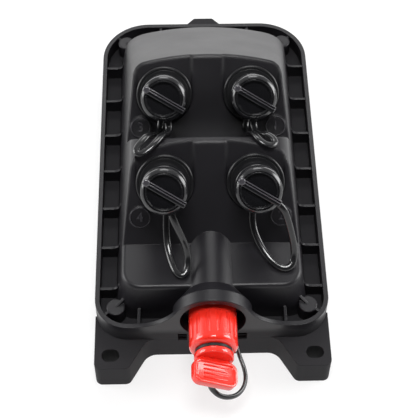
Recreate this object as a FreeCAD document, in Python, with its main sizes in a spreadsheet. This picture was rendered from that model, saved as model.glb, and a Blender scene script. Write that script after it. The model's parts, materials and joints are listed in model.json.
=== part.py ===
"""Multiport service terminal: a sealed wedge-shaped box with four capped ports and one plugged input.

Frame: millimetres, +Z up from the mounting face, +Y towards the hanging tab. The origin is on the
back face, in the middle of the rim. The ports lean 45 degrees towards -Y, where the input opens.
"""
import FreeCAD, Part
import math
import os

V = FreeCAD.Vector
doc = FreeCAD.newDocument("terminal")
sheet = doc.addObject("Spreadsheet::Sheet", "Sizes")
# Every driving dimension in millimetres or degrees. Places along the part are measured from its rim,
# so that a longer or wider rim carries what stands on it.
SIZES = {
    # The enclosure
    "rim_width": 120.0,
    "rim_length": 210.0,
    "rim_wall": 2.4,
    "rim_top": 29.2,
    "rim_corner_far": 27.0,
    "rim_corner_near": 17.0,
    "base_height": 17.0,
    "base_floor": 3.0,
    "base_inset": 0.7,
    "flange_plate": 3.0,
    "pocket": 12.0,
    "draft_angle": 9.6,
    "body_corner_far": 15.0,
    "body_corner_near": 10.0,
    "shell_wall": 3.2,
    "crown_radius": 150.0,
    "shoulder": 8.5,
    "deck_height": 44.0,
    "deck_edge": 2.2,
    # The stepped roof, as heights and places of its ridges along Y
    "ridge_far_place": 133.2,
    "ridge_far_height": 85.7,
    "roof_pitch": 35.0,
    "ridge_near_place": 77.9,
    "ridge_near_height": 81.4,
    "ridge_flat": 2.8,
    "ridge_soft": 1.2,
    "ridge_soft_drop": 12.0,
    "back_pitch": 56.0,
    "port_lean": 45.0,
    # Side ribs and screw bosses
    "rib_wall": 1.5,
    "rib_drop": 0.9,
    "rib_first_inset": 34.3,
    "rib_pitch": 25.3,
    "rib_far_inset": 34.0,
    "rib_near_inset": 22.7,
    "boss_outer": 4.9,
    "boss_drop": 0.4,
    "boss_round": 0.8,
    "gusset_rise": 3.6,
    "boss_near_side": 10.7,
    "boss_near_end": 12.6,
    "boss_far_side": 13.4,
    "boss_far_end": 14.4,
    # Ports
    "port_spread": 23.2,
    "port_far_drop": 20.9,
    "port_near_drop": 21.2,
    "seat_depth": 1.3,
    "flange_radius": 14.8,
    "flange_proud": 1.8,
    "barrel_radius": 8.8,
    "barrel_length": 21.0,
    "thread_root": 8.15,
    "thread_start": 5.4,
    "thread_end": 13.6,
    "tail_radius": 8.4,
    "tail_length": 20.0,
    "bore_radius": 6.2,
    "fit_gap": 0.03,
    "run_gap": 0.06,
    "web_wall": 2.0,
    "ferrule_bore": 1.25,
    "ferrule_wall": 0.32,
    "ferrule_length": 11.0,
    "port_seal_radius": 12.9,
    "port_seal_width": 1.8,
    "port_seal_depth": 1.4,
    "nut_corner": 13.2,
    "nut_height": 4.5,
    # Dust caps
    "cap_radius": 11.55,
    "cap_foot": 6.0,
    "cap_front": 29.8,
    "cap_chamfer": 1.3,
    "cap_recess": 2.4,
    "cap_recess_radius": 8.9,
    "cap_roof": 2.6,
    "grip_width": 3.0,
    "grip_reach": 12.4,
    "grip_back": 11.0,
    "grip_turn": -31.0,
    "grip_lip": 0.9,
    "grip_lip_rise": 0.4,
    "knob_radius": 1.9,
    "cap_seal_width": 2.0,
    "cap_seal_depth": 0.9,
    "cap_seal_place": 15.0,
    # Tethers
    "tether_radius": 1.3,
    "neck_ring_height": 2.6,
    "neck_ring_radius": 11.2,
    "neck_ring_gap": 0.5,
    "eye_ring_place": 19.0,
    "eye_ring_height": 2.4,
    "eye_ring_radius": 11.4,
    "eye_groove_radius": 10.2,
    "lug_width": 4.0,
    "lug_reach": 13.2,
    "tether_lead": 3.6,
    # Input and its red plug
    "input_height": 34.8,
    "hood_radius": 20.0,
    "hood_bore": 16.6,
    "hood_blend": 24.0,
    "hood_length": 6.5,
    "hood_cone": 8.0,
    "hood_seat": 10.0,
    "hood_wall": 4.4,
    "dome_radius": 13.8,
    "dome_reach": 38.0,
    "input_flange_radius": 13.0,
    "input_flange_height": 2.0,
    "input_tail_radius": 7.5,
    "input_tail_length": 15.0,
    "input_barrel_length": 21.0,
    "input_nut_corner": 10.2,
    "input_nut_height": 3.5,
    "input_seal_radius": 11.0,
    "input_seal_width": 1.6,
    "input_seal_depth": 1.0,
    "sleeve_gap": 3.2,
    "sleeve_radius": 12.2,
    "sleeve_length": 22.0,
    "sleeve_round": 3.0,
    "sleeve_flutes": 14,
    "sleeve_flute_radius": 1.6,
    "sleeve_flute_depth": 0.55,
    "sleeve_land": 5.0,
    "stem_radius": 7.0,
    "nose_length": 8.0,
    "plug_disc_radius": 9.9,
    "plug_disc_height": 3.4,
    "plug_disc_round": 0.7,
    "plug_slack": 0.2,
    "plug_seal_radius": 9.3,
    "plug_seal_height": 1.6,
    "paddle_length": 14.6,
    "paddle_corner": 4.0,
    "paddle_edge": 1.1,
    "paddle_root": 1.6,
    "paddle_bite": 0.8,
    "neck_inset": 2.0,
    "neck_length": 4.0,
    "neck_thinner": 0.3,
    "paddle_half_width": 11.6,
    "paddle_wall": 4.4,
    "paddle_turn": 25.0,
    "paddle_grip": 3.0,
    "lanyard_radius": 1.25,
    "lanyard_ring_radius": 11.4,
    "lanyard_ring_height": 2.6,
    "lanyard_lug_width": 3.6,
    "lanyard_lug_end": 1.4,
    "lanyard_track": 14.4,
    "lanyard_angle": 48.0,
    # Base: feet, tab, seal, screws and the splice tray
    "foot_reach": 16.8,
    "foot_overhang": 0.4,
    "foot_inner_inset": 26.5,
    "foot_toe_inset": 17.0,
    "foot_corner": 3.5,
    "foot_root": 8.0,
    "foot_slot_inset": 7.9,
    "foot_slot_y": 9.0,
    "foot_slot_length": 9.2,
    "foot_slot_width": 7.0,
    "tab_reach": 16.3,
    "tab_half_base": 10.0,
    "tab_half_tip": 5.6,
    "tab_chamfer": 4.8,
    "tab_hole_radius": 2.75,
    "tab_hole_place": 8.3,
    "seal_line": 11.7,
    "seal_width": 2.4,
    "seal_height": 2.0,
    "cavity_inset": 15.0,
    "screw_radius": 1.75,
    "screw_head_radius": 3.4,
    "screw_head_height": 2.4,
    "screw_sink": 3.0,
    "screw_length": 22.0,
    "screw_cover_gap": 2.0,
    "window_width": 4.6,
    "window_height": 6.0,
    "window_x": 15.4,
    "tray_side_gap": 9.0,
    "tray_end_gap": 16.0,
    "tray_floor": 1.6,
    "tray_corner": 8.0,
    "drum_radius": 18.0,
    "tray_height": 8.0,
    "tray_post": 2.2,
    "tray_post_radius": 3.5,
    "tray_screw_radius": 1.2,
    "tray_screw_inset": 6.0,
    "disc_radius": 5.4,
    "disc_height": 0.5,
    "disc_spread": 36.2,
    "disc_below": 17.6,
}
for row, (alias, value) in enumerate(SIZES.items(), 1):
    sheet.set(f"A{row}", alias)
    sheet.set(f"B{row}", str(value))
    sheet.setAlias(f"B{row}", alias)
doc.recompute()


def v(alias):
    """The value of a cell of the sheet."""
    return float(sheet.get(alias))


def part_feature(name, shape):
    """A computed solid as an object of the document."""
    thing = doc.addObject("Part::Feature", name)
    thing.Label = name
    thing.Shape = shape
    return thing


# Helpers for the moulded shells: rounded plans, drafted blocks and side profiles
HALF_WIDTH = v("rim_width") / 2
HALF_LENGTH = v("rim_length") / 2
LEAN = math.radians(v("port_lean"))
OUT = V(0, -math.sin(LEAN), math.cos(LEAN))
UPHILL = V(0, math.cos(LEAN), math.sin(LEAN))
DRAFT = math.tan(math.radians(v("draft_angle")))
FLOOR = v("base_height")
RIM_TOP = v("rim_top")


def rounded_plan(inset, height, near_radius, far_radius):
    """A closed outline at one height: the rim's rectangle drawn in by an inset, with rounded corners."""
    x = HALF_WIDTH - inset
    y = HALF_LENGTH - inset
    edges = []
    corners = []
    for sign_x, sign_y, radius in ((1, -1, near_radius), (1, 1, far_radius), (-1, 1, far_radius),
                                   (-1, -1, near_radius)):
        centre = V(sign_x * (x - radius), sign_y * (y - radius), height)
        along_x = centre + V(sign_x * radius, 0, 0)
        along_y = centre + V(0, sign_y * radius, 0)
        middle = centre + V(sign_x * radius, sign_y * radius, 0) * math.sqrt(0.5)
        first_is_y = sign_x * sign_y < 0
        corners.append((along_y, middle, along_x) if first_is_y else (along_x, middle, along_y))
    for i, (start, middle, end) in enumerate(corners):
        edges.append(Part.Arc(start, middle, end).toShape())
        edges.append(Part.LineSegment(end, corners[(i + 1) % 4][0]).toShape())
    return Part.Wire(edges)


def plan_prism(inset, low, high, near_radius, far_radius):
    """A straight-sided prism on a rounded outline."""
    face = Part.Face(rounded_plan(inset, low, near_radius, far_radius))
    return face.extrude(V(0, 0, high - low))


def drafted_block(offset, low, high):
    """The body's drafted envelope, drawn in by an offset: it stands one pocket inside the rim."""
    wires = []
    for height in (low, high):
        inset = v("pocket") + offset + (height - RIM_TOP) * DRAFT
        near = v("body_corner_near") - 0.6 * offset
        far = v("body_corner_far") - 0.6 * offset
        wires.append(rounded_plan(inset, height, near, far))
    return Part.makeLoft(wires, True, True)


def meet(point_a, slope_a, point_b, slope_b):
    """Where two lines of the side view cross; a slope is an angle from +Y in degrees."""
    ay, az = point_a
    by, bz = point_b
    ca, sa = math.cos(math.radians(slope_a)), math.sin(math.radians(slope_a))
    cb, sb = math.cos(math.radians(slope_b)), math.sin(math.radians(slope_b))
    t = ((by - ay) * sb - (bz - az) * cb) / (ca * sb - sa * cb)
    return (ay + t * ca, az + t * sa)


def drawn_in(point, slope, offset):
    """A point of a sloping line, moved square to the line into the body."""
    angle = math.radians(slope)
    return (point[0] + offset * math.sin(angle), point[1] - offset * math.cos(angle))


def side_prism(points):
    """A side-view outline as a prism across the whole width."""
    wide = HALF_WIDTH + 20
    corners = [V(-wide, y, z) for y, z in points]
    return Part.Face(Part.makePolygon(corners + [corners[0]])).extrude(V(2 * wide, 0, 0))


RIDGE_FAR = (v("ridge_far_place") - HALF_LENGTH, v("ridge_far_height"))
RIDGE_NEAR = (v("ridge_near_place") - HALF_LENGTH, v("ridge_near_height"))
RIDGE_BACK = (RIDGE_NEAR[0] + v("ridge_flat"), v("ridge_near_height"))


def crown(y, height, slope, offset):
    """A long cylinder that gives one roof its slight dome; it lies along the roof's slope."""
    angle = math.radians(slope)
    radius = v("crown_radius")
    along = V(0, math.cos(angle), math.sin(angle))
    square = V(0, -math.sin(angle), math.cos(angle))
    reach = 1.5 * v("rim_length")
    start = V(0, y, height) - square * radius - along * reach
    return Part.makeCylinder(radius - offset, 2 * reach, start, along)


def soften(solid, radius, wanted):
    """Rounds the edges of a solid whose middle point passes a test."""
    edges = []
    for edge in solid.Edges:
        middle = edge.valueAt((edge.FirstParameter + edge.LastParameter) / 2)
        if wanted(middle):
            edges.append(edge)
    return solid.makeFillet(radius, edges)


def points_on(edge, shares):
    """Points at some shares of an edge's run."""
    run = edge.LastParameter - edge.FirstParameter
    return [edge.valueAt(edge.FirstParameter + share * run) for share in shares]


def shouldered(block, ridge, slope, offset, sides_only):
    """The block under one domed roof, with its shoulders rounded along the roof's edge."""
    dome = crown(ridge[0], ridge[1], slope, offset)
    angle = math.radians(slope)
    along = V(0, math.cos(angle), math.sin(angle))
    square = V(0, -math.sin(angle), math.cos(angle))
    core = V(0, ridge[0], ridge[1]) - square * v("crown_radius")

    def on_roof(point):
        away = point - core
        away = away - along * away.dot(along)
        if sides_only and abs(point.x) < HALF_WIDTH / 2:
            return False
        return abs(away.Length - v("crown_radius") + offset) < 0.01

    solid = block.common(dome)
    edges = []
    for edge in solid.Edges:
        if all(on_roof(point) for point in points_on(edge, (0.2, 0.5, 0.8))):
            edges.append(edge)
    return solid.makeFillet(v("shoulder") - offset, edges)


def soften_ridge(solid, ridge, slope, lowest):
    """Rounds the upper edges of one port face: its ridge, and its ends above a height."""
    angle = math.radians(slope)
    square = V(0, -math.sin(angle), math.cos(angle))
    start = V(0, ridge[0], ridge[1])
    edges = []
    for edge in solid.Edges:
        places = points_on(edge, (0.02, 0.5, 0.98))
        if all(abs((point - start).dot(square)) < 0.01 and point.z > lowest for point in places):
            edges.append(edge)
    return solid.makeFillet(v("ridge_soft"), edges)


def body_solid(offset, low):
    """The stepped body, drawn in by an offset: far roof, near tooth and front deck, made one solid."""
    lean = v("port_lean")
    block = drafted_block(offset, low, 1.3 * v("ridge_far_height"))
    roof_a = drawn_in(RIDGE_FAR, -v("roof_pitch"), offset)
    face_a = drawn_in(RIDGE_FAR, lean, offset)
    flat = drawn_in(RIDGE_NEAR, 0, offset)
    back = drawn_in(RIDGE_BACK, -v("back_pitch"), offset)
    face_b = drawn_in(RIDGE_NEAR, lean, offset)
    deck = (0, v("deck_height") - offset)
    top_a = meet(roof_a, -v("roof_pitch"), face_a, lean)
    far_end = meet(roof_a, -v("roof_pitch"), (HALF_LENGTH + 10, 0), 90)
    valley = meet(face_a, lean, back, -v("back_pitch"))
    back_top = meet(back, -v("back_pitch"), flat, 0)
    top_b = meet(flat, 0, face_b, lean)
    peak = meet(back, -v("back_pitch"), face_b, lean)
    tooth_top = [back_top, top_b] if back_top[0] > top_b[0] else [peak]
    crease = meet(face_b, lean, deck, 0)
    near_end = -HALF_LENGTH - 10
    far_roof = side_prism([(valley[0], low), (HALF_LENGTH + 10, low), far_end, top_a, valley])
    tooth = side_prism([(crease[0], low), (valley[0], low), valley] + tooth_top + [crease])
    front = side_prism([(near_end, low), (crease[0], low), (crease[0], crease[1]), (near_end, crease[1])])
    far_roof = far_roof.common(shouldered(block, RIDGE_FAR, -v("roof_pitch"), offset, False))
    span = side_prism([(crease[0] - 5, low), (valley[0] + 5, low), (valley[0] + 5, top_a[1]),
                       (crease[0] - 5, top_a[1])])
    tooth = tooth.common(shouldered(block.common(span), RIDGE_NEAR, 0, offset, True))
    front = front.common(block)
    if offset == 0:
        far_roof = soften_ridge(far_roof, RIDGE_FAR, lean, valley[1] + 1)
        tooth = soften_ridge(tooth, RIDGE_NEAR, lean, top_b[1] - v("ridge_soft_drop"))
        front = soften(front, v("deck_edge"), lambda m: abs(m.z - v("deck_height")) < 0.01 and (
            abs(m.x) > 30 or m.y < -80))
    return far_roof.fuse([tooth, front]).removeSplitter()


def port_place(x, far):
    """The middle of a port on its sloping face: a stated distance down the slope from the ridge."""
    ridge, drop = (RIDGE_FAR, v("port_far_drop")) if far else (RIDGE_NEAR, v("port_near_drop"))
    return V(x, ridge[0], ridge[1]) - UPHILL * drop


PORTS = {
    "1": port_place(v("port_spread"), True),
    "2": port_place(v("port_spread"), False),
    "3": port_place(-v("port_spread"), True),
    "4": port_place(-v("port_spread"), False),
}
FRONT = -HALF_LENGTH
INPUT = V(0, FRONT + v("hood_seat"), v("input_height"))
HOOD_WALL = v("hood_wall")


def seat_cut(place):
    """The U-shaped port seat: a round pocket of the flange's size, open uphill through the ridge."""
    depth = v("seat_depth")
    radius = v("flange_radius") + v("fit_gap")
    floor = place - OUT * depth
    round_part = Part.makeCylinder(radius, depth + 20, floor, OUT)
    low = floor - V(radius, 0, 0)
    corners = [low, low + V(2 * radius, 0, 0), low + V(2 * radius, 0, 0) + UPHILL * 40, low + UPHILL * 40]
    slot = Part.Face(Part.makePolygon(corners + [corners[0]])).extrude(OUT * (depth + 20))
    return round_part.fuse(slot)


def along_input(radius, start, end):
    """A cylinder about the input's axis between two distances outwards from its seat."""
    return Part.makeCylinder(radius, end - start, INPUT + V(0, -start, 0), V(0, -1, 0))


def hood_curtain():
    """The rim's near wall where it rises over the input: a circle blended into the level rim by two arcs."""
    centre = V(0, FRONT, v("input_height"))
    hood, blend = v("hood_radius"), v("hood_blend")
    rise = RIM_TOP + blend - v("input_height")
    reach = math.sqrt((hood + blend) ** 2 - rise ** 2)
    level = RIM_TOP - 0.5
    left_centre = V(-reach, FRONT, RIM_TOP + blend)
    toward = (left_centre - centre).normalize()
    left_touch = centre + toward * hood
    bisect = (V(0, 0, -1) + (left_touch - left_centre).normalize()).normalize()
    left_foot = V(-reach, FRONT, RIM_TOP)
    left_middle = left_centre + bisect * blend

    def mirrored(point):
        return V(-point.x, point.y, point.z)

    edges = [
        Part.LineSegment(V(-reach, FRONT, level), left_foot).toShape(),
        Part.Arc(left_foot, left_middle, left_touch).toShape(),
        Part.Arc(left_touch, centre + V(0, 0, hood), mirrored(left_touch)).toShape(),
        Part.Arc(mirrored(left_touch), mirrored(left_middle), mirrored(left_foot)).toShape(),
        Part.LineSegment(mirrored(left_foot), V(reach, FRONT, level)).toShape(),
        Part.LineSegment(V(reach, FRONT, level), V(-reach, FRONT, level)).toShape(),
    ]
    return Part.Face(Part.Wire(edges)).extrude(V(0, v("rim_wall"), 0))


def side_rib(y):
    """One rib across a side pocket: level at the rim, then swept up the body's wall."""
    top = RIM_TOP - v("rib_drop")
    wall_x = HALF_WIDTH - v("pocket") + 2
    bend = wall_x + 1.6
    y0 = y - v("rib_wall") / 2
    low = FLOOR + 0.5
    edges = [
        Part.LineSegment(V(HALF_WIDTH - 1, y0, low), V(HALF_WIDTH - 1, y0, top)).toShape(),
        Part.LineSegment(V(HALF_WIDTH - 1, y0, top), V(bend, y0, top)).toShape(),
        Part.Arc(V(bend, y0, top), V(bend - 2.6, y0, top + 1.1), V(bend - 3.7, y0, top + 3.7)).toShape(),
        Part.LineSegment(V(bend - 3.7, y0, top + 3.7), V(wall_x - 5, y0, top + 3.7)).toShape(),
        Part.LineSegment(V(wall_x - 5, y0, top + 3.7), V(wall_x - 5, y0, low)).toShape(),
        Part.LineSegment(V(wall_x - 5, y0, low), V(HALF_WIDTH - 1, y0, low)).toShape(),
    ]
    return Part.Face(Part.Wire(edges)).extrude(V(0, v("rib_wall"), 0))


BOSSES = [(sx * (HALF_WIDTH - v("boss_near_side")), v("boss_near_end") - HALF_LENGTH) for sx in (-1, 1)]
BOSSES += [(sx * (HALF_WIDTH - v("boss_far_side")), HALF_LENGTH - v("boss_far_end")) for sx in (-1, 1)]


def cover_shape():
    """The cover: rim and flange plate, stepped shell, port seats, ribs, bosses and the input hood."""
    near_r, far_r = v("rim_corner_near"), v("rim_corner_far")
    wall = v("rim_wall")
    outer = plan_prism(0, FLOOR, RIM_TOP, near_r, far_r)
    inner = plan_prism(wall, FLOOR + v("flange_plate"), RIM_TOP + 1, near_r - wall, far_r - wall)
    tray = outer.cut(inner)
    body = body_solid(0, FLOOR)
    # Hood, cone and the low dome over the input's tail
    hood_end = v("hood_seat")
    cone_start = hood_end - v("hood_length")
    hood = along_input(v("hood_radius"), cone_start, hood_end)
    cone = Part.makeCone(v("dome_radius"), v("hood_radius"), v("hood_cone"),
                         INPUT + V(0, v("hood_cone") - cone_start, 0), V(0, -1, 0))
    dome = along_input(v("dome_radius"), -v("dome_reach"), cone_start - v("hood_cone") + 0.5)
    above = Part.makeBox(4 * HALF_WIDTH, 4 * HALF_LENGTH, 2 * v("ridge_far_height"),
                         V(-2 * HALF_WIDTH, -2 * HALF_LENGTH, FLOOR))
    pieces = [body, hood.common(above), cone.common(above), dome.common(above), hood_curtain()]
    ribs = []
    for i in range(7):
        rib = side_rib(HALF_LENGTH - v("rib_first_inset") - i * v("rib_pitch"))
        ribs += [rib, rib.mirror(V(0, 0, 0), V(1, 0, 0))]
    rib_top = RIM_TOP - v("rib_drop")
    for sx in (-1, 1):
        x = sx * (HALF_WIDTH - v("rib_near_inset")) - v("rib_wall") / 2
        ribs.append(Part.makeBox(v("rib_wall"), v("pocket") + 1, rib_top - FLOOR, V(x, FRONT + 1, FLOOR)))
        x = sx * (HALF_WIDTH - v("rib_far_inset")) - v("rib_wall") / 2
        ribs.append(Part.makeBox(v("rib_wall"), v("pocket") + 1, rib_top - FLOOR,
                                 V(x, HALF_LENGTH - v("pocket") - 2, FLOOR)))
    bosses = []
    for x, y in BOSSES:
        boss = Part.makeCylinder(v("boss_outer"), RIM_TOP - v("boss_drop") - FLOOR, V(x, y, FLOOR))
        top_ring = [e for e in boss.Edges if e.BoundBox.ZMin > RIM_TOP - 1 and len(e.Vertexes) == 1]
        bosses.append(boss.makeFillet(v("boss_round"), top_ring))
        bosses += [boss_fin(x, y), boss_gusset(x, y)]
    solid = tray.fuse(pieces + ribs + bosses)
    solid = solid.common(above)
    # Hollow: the inner body, its open underside, the dome's and the hood's bores
    cavity = body_solid(v("shell_wall"), FLOOR - 1)
    cavity = cavity.cut(along_input(v("hood_radius"), -HOOD_WALL, 30))
    solid = solid.cut(cavity)
    dome_bore = along_input(v("dome_radius") - v("shell_wall"), v("shell_wall") - v("dome_reach"), -HOOD_WALL)
    solid = solid.cut(dome_bore)
    solid = solid.cut(along_input(v("hood_bore"), 0, 40))
    solid = solid.cut(along_input(v("input_tail_radius") + v("fit_gap"), -20, 5))
    for place in PORTS.values():
        solid = solid.cut(seat_cut(place))
        solid = solid.cut(Part.makeCylinder(v("tail_radius") + v("fit_gap"), 20, place - OUT * 10, OUT))
    for x, y in BOSSES:
        depth = v("screw_length") - (FLOOR - v("screw_sink"))
        solid = solid.cut(Part.makeCylinder(v("screw_radius"), depth + v("screw_cover_gap"), V(x, y, FLOOR)))
    for sx in (-1, 1):
        x = sx * v("window_x") - v("window_width") / 2
        solid = solid.cut(Part.makeBox(v("window_width"), v("rim_wall") + 1.6, v("window_height"),
                                       V(x, FRONT - 1, FLOOR - 1)))
    # Port number pads on the sloping faces
    for place in PORTS.values():
        sx = 1 if place.x > 0 else -1
        pad = V(sx * v("disc_spread"), place.y, place.z) - UPHILL * v("disc_below") - OUT * 0.5
        solid = solid.fuse(Part.makeCylinder(v("disc_radius"), 0.5 + v("disc_height"), pad, OUT))
    return solid.removeSplitter()


def boss_fin(x, y):
    """The diagonal web from a screw boss to the rim's corner, and the small gusset to the body."""
    wall = v("rib_wall")
    sx = 1 if x > 0 else -1
    sy = 1 if y > 0 else -1
    radius = v("rim_corner_far") if sy > 0 else v("rim_corner_near")
    centre = V(sx * (HALF_WIDTH - radius), sy * (HALF_LENGTH - radius), 0)
    out = (V(x, y, 0) - centre).normalize()
    reach = radius - 1.0 - (V(x, y, 0) - centre).Length
    side = V(-out.y, out.x, 0)
    start = V(x, y, FLOOR) - side * (wall / 2)
    corners = [start, start + out * reach, start + out * reach + side * wall, start + side * wall]
    return Part.Face(Part.makePolygon(corners + [corners[0]])).extrude(V(0, 0,
                                                                         RIM_TOP - v("rib_drop") - FLOOR))


def boss_gusset(x, y):
    """The small upright web from a screw boss's middle, rising to the body's corner."""
    sx = 1 if x > 0 else -1
    sy = 1 if y > 0 else -1
    radius = v("body_corner_far") if sy > 0 else v("body_corner_near")
    inset = v("pocket") + radius
    centre = V(sx * (HALF_WIDTH - inset), sy * (HALF_LENGTH - inset), 0)
    inward = centre - V(x, y, 0)
    reach = inward.Length - radius + 3
    inward.normalize()
    side = V(-inward.y, inward.x, 0) * v("rib_wall")
    top = RIM_TOP - v("boss_drop")
    start = V(x, y, FLOOR) - side * 0.5
    end = start + inward * reach
    corners = [start, end, V(end.x, end.y, top + v("gusset_rise")), V(start.x, start.y, top)]
    return Part.Face(Part.makePolygon(corners + [corners[0]])).extrude(side)


FOOT_INNER = HALF_WIDTH - v("foot_inner_inset")
FOOT_OUTER = HALF_WIDTH + v("foot_overhang")
TRAY_X = HALF_WIDTH - v("cavity_inset") - v("tray_side_gap")
TRAY_Y = HALF_LENGTH - v("cavity_inset") - v("tray_end_gap")


def foot_plan(sx):
    """One foot seen from above: it slants out of the front wall to a blunt rounded toe."""
    toe = FRONT - v("foot_reach")
    corners = [
        V(sx * FOOT_INNER, FRONT + 2, 0),
        V(sx * FOOT_INNER, FRONT, 0),
        V(sx * (HALF_WIDTH - v("foot_toe_inset")), toe, 0),
        V(sx * FOOT_OUTER, toe, 0),
        V(sx * FOOT_OUTER, FRONT + 14, 0),
        V(sx * (HALF_WIDTH - 14), FRONT + 14, 0),
    ]
    face = Part.Face(Part.makePolygon(corners + [corners[0]]))
    solid = face.extrude(V(0, 0, FLOOR))
    return soften(solid, v("foot_corner"), lambda m: abs(m.z - FLOOR / 2) < 0.1 and m.y < toe + 0.1)


def base_shape():
    """The base: a tray with a seal groove, two feet, a hanging tab, screw holes and tray posts."""
    inset = v("base_inset")
    base = plan_prism(inset, 0, FLOOR, v("rim_corner_near") - inset, v("rim_corner_far") - inset)
    front_block = Part.makeBox(2 * FOOT_INNER + 8, 6, FLOOR, V(-FOOT_INNER - 4, FRONT, 0))
    y0 = HALF_LENGTH - 4
    tip = HALF_LENGTH + v("tab_reach")
    neck = tip - v("tab_chamfer")
    tab_points = [(-1, y0, 0), (-1, neck, 0), (-1, tip, 1), (1, tip, 1), (1, neck, 0), (1, y0, 0)]
    corners = [V(s * (v("tab_half_tip") if is_tip else v("tab_half_base")), y, 0) for s, y,
               is_tip in tab_points]
    tab = Part.Face(Part.makePolygon(corners + [corners[0]])).extrude(V(0, 0, FLOOR))
    tab = soften(tab, 1.5, lambda m: abs(m.z - FLOOR / 2) < 0.1 and m.y > neck - 1)
    base = base.fuse([front_block, tab, foot_plan(-1), foot_plan(1)]).removeSplitter()
    base = soften(base, v("foot_root"),
                  lambda m: abs(abs(m.x) - FOOT_INNER) < 0.01 and abs(m.y - FRONT) < 0.01)
    inset = v("cavity_inset")
    base = base.cut(plan_prism(inset, v("base_floor"), FLOOR + 1, v("body_corner_near") - 2,
                               v("body_corner_far") - 2))
    base = base.cut(seal_ring(v("seal_height")))
    for sx in (-1, 1):
        base = base.cut(foot_slot(sx))
        x = sx * v("window_x") - v("window_width") / 2
        base = base.cut(Part.makeBox(v("window_width"), v("rim_wall") + 0.6, 3, V(x, FRONT - 1, FLOOR - 1.5)))
    base = base.cut(Part.makeCylinder(v("tab_hole_radius"), FLOOR + 2,
                                      V(0, HALF_LENGTH + v("tab_hole_place"), -1)))
    for x, y in BOSSES:
        head = v("screw_sink") + v("screw_head_height")
        base = base.cut(Part.makeCylinder(v("screw_radius") + 0.15, FLOOR + 2, V(x, y, -1)))
        base = base.cut(Part.makeCylinder(v("screw_head_radius") + 0.2, head, V(x, y, 0)))
    for x, y in TRAY_SCREWS:
        post = Part.makeCylinder(v("tray_post_radius"), v("tray_post") + 0.5, V(x, y, v("base_floor") - 0.5))
        base = base.fuse(post)
        base = base.cut(Part.makeCylinder(v("tray_screw_radius"), 4,
                                          V(x, y, v("base_floor") + v("tray_post") - 4)))
    return base.removeSplitter()


TRAY_SCREWS = [(sx * (TRAY_X - v("tray_screw_inset")), sy * (TRAY_Y - v("tray_screw_inset")))
               for sx in (-1, 1) for sy in (-1, 1)]


def seal_ring(height):
    """The housing seal's ring, sunk in the base's top under the body's wall."""
    line, half = v("seal_line"), v("seal_width") / 2
    near, far = v("body_corner_near"), v("body_corner_far")
    outer = plan_prism(line - half, FLOOR - height, FLOOR, near + half, far + half)
    inner = plan_prism(line + half, FLOOR - height - 1, FLOOR + 1, near - half, far - half)
    return outer.cut(inner)


def foot_slot(sx):
    """A foot's slotted fixing hole: its long way runs across the part."""
    half_run = (v("foot_slot_length") - v("foot_slot_width")) / 2
    radius = v("foot_slot_width") / 2
    y = FRONT - v("foot_slot_y")
    x = sx * (HALF_WIDTH - v("foot_slot_inset"))
    ends = [Part.makeCylinder(radius, FLOOR + 2, V(x + s * half_run, y, -1)) for s in (-1, 1)]
    middle = Part.makeBox(2 * half_run, 2 * radius, FLOOR + 2, V(x - half_run, y - radius, -1))
    return middle.fuse(ends)


def tray_shape():
    """The splice tray: a shallow dish with two winding drums, screwed to the base's posts."""
    x, y = TRAY_X, TRAY_Y
    low = v("base_floor") + v("tray_post")
    wall = v("tray_floor")
    dish = Part.makeBox(2 * x, 2 * y, v("tray_height"), V(-x, -y, low))
    dish = soften(dish, v("tray_corner"), lambda m: abs(m.z - low - v("tray_height") / 2) < 0.1)
    inside = Part.makeBox(2 * (x - wall), 2 * (y - wall), v("tray_height"), V(wall - x, wall - y, low + wall))
    inside = soften(inside, v("tray_corner") - wall,
                    lambda m: abs(m.z - low - wall - v("tray_height") / 2) < 0.1)
    dish = dish.cut(inside)
    for sy in (-1, 1):
        middle = V(0, sy * (y - x - 4), low + wall / 2)
        radius = v("drum_radius")
        drum = Part.makeCylinder(radius, v("tray_height") - wall,
                                 middle).cut(Part.makeCylinder(radius - wall, 20, middle))
        dish = dish.fuse(drum)
    for sx, sy in TRAY_SCREWS:
        dish = dish.cut(Part.makeCylinder(v("tray_screw_radius") + 0.15, 10, V(sx, sy, low - 1)))
    return dish.removeSplitter()


# Turned pieces: PartDesign revolutions whose profile points are bound to the sheet
def profile(body, name, points):
    """A closed sketch on the body's XZ plane; each point is a pair of expressions, radius and height."""
    sketch = body.newObject("Sketcher::SketchObject", name)
    plane = [f for f in body.Origin.OriginFeatures if f.Role == "XZ_Plane"][0]
    sketch.AttachmentSupport = (plane, [""])
    sketch.MapMode = "FlatFace"
    here = [V(sheet_value(ex), sheet_value(ey), 0) for ex, ey in points]
    count = len(here)
    for i in range(count):
        sketch.addGeometry(Part.LineSegment(here[i], here[(i + 1) % count]), False)
    import Sketcher
    for i in range(count):
        sketch.addConstraint(Sketcher.Constraint("Coincident", i, 2, (i + 1) % count, 1))
    for i, (ex, ey) in enumerate(points):
        for word, axis, text, value in (("DistanceX", -2, ex, here[i].x), ("DistanceY", -1, ey, here[i].y)):
            if text == "0":
                sketch.addConstraint(Sketcher.Constraint("PointOnObject", i, 1, axis))
            else:
                index = sketch.addConstraint(Sketcher.Constraint(word, -1, 1, i, 1, value))
                sketch.setExpression(f"Constraints[{index}]", cells(text))
    return sketch


def cells(text):
    """An expression in alias words, with each word pointed at the sheet."""
    words = []
    for token in text.replace("(", " ( ").replace(")", " ) ").split():
        words.append("Sizes." + token if token in SIZES else token)
    return " ".join(words)


def sheet_value(text):
    """What such an expression is worth now."""
    result = sheet.evalExpression(cells(text))
    return float(getattr(result, "Value", result))


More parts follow.
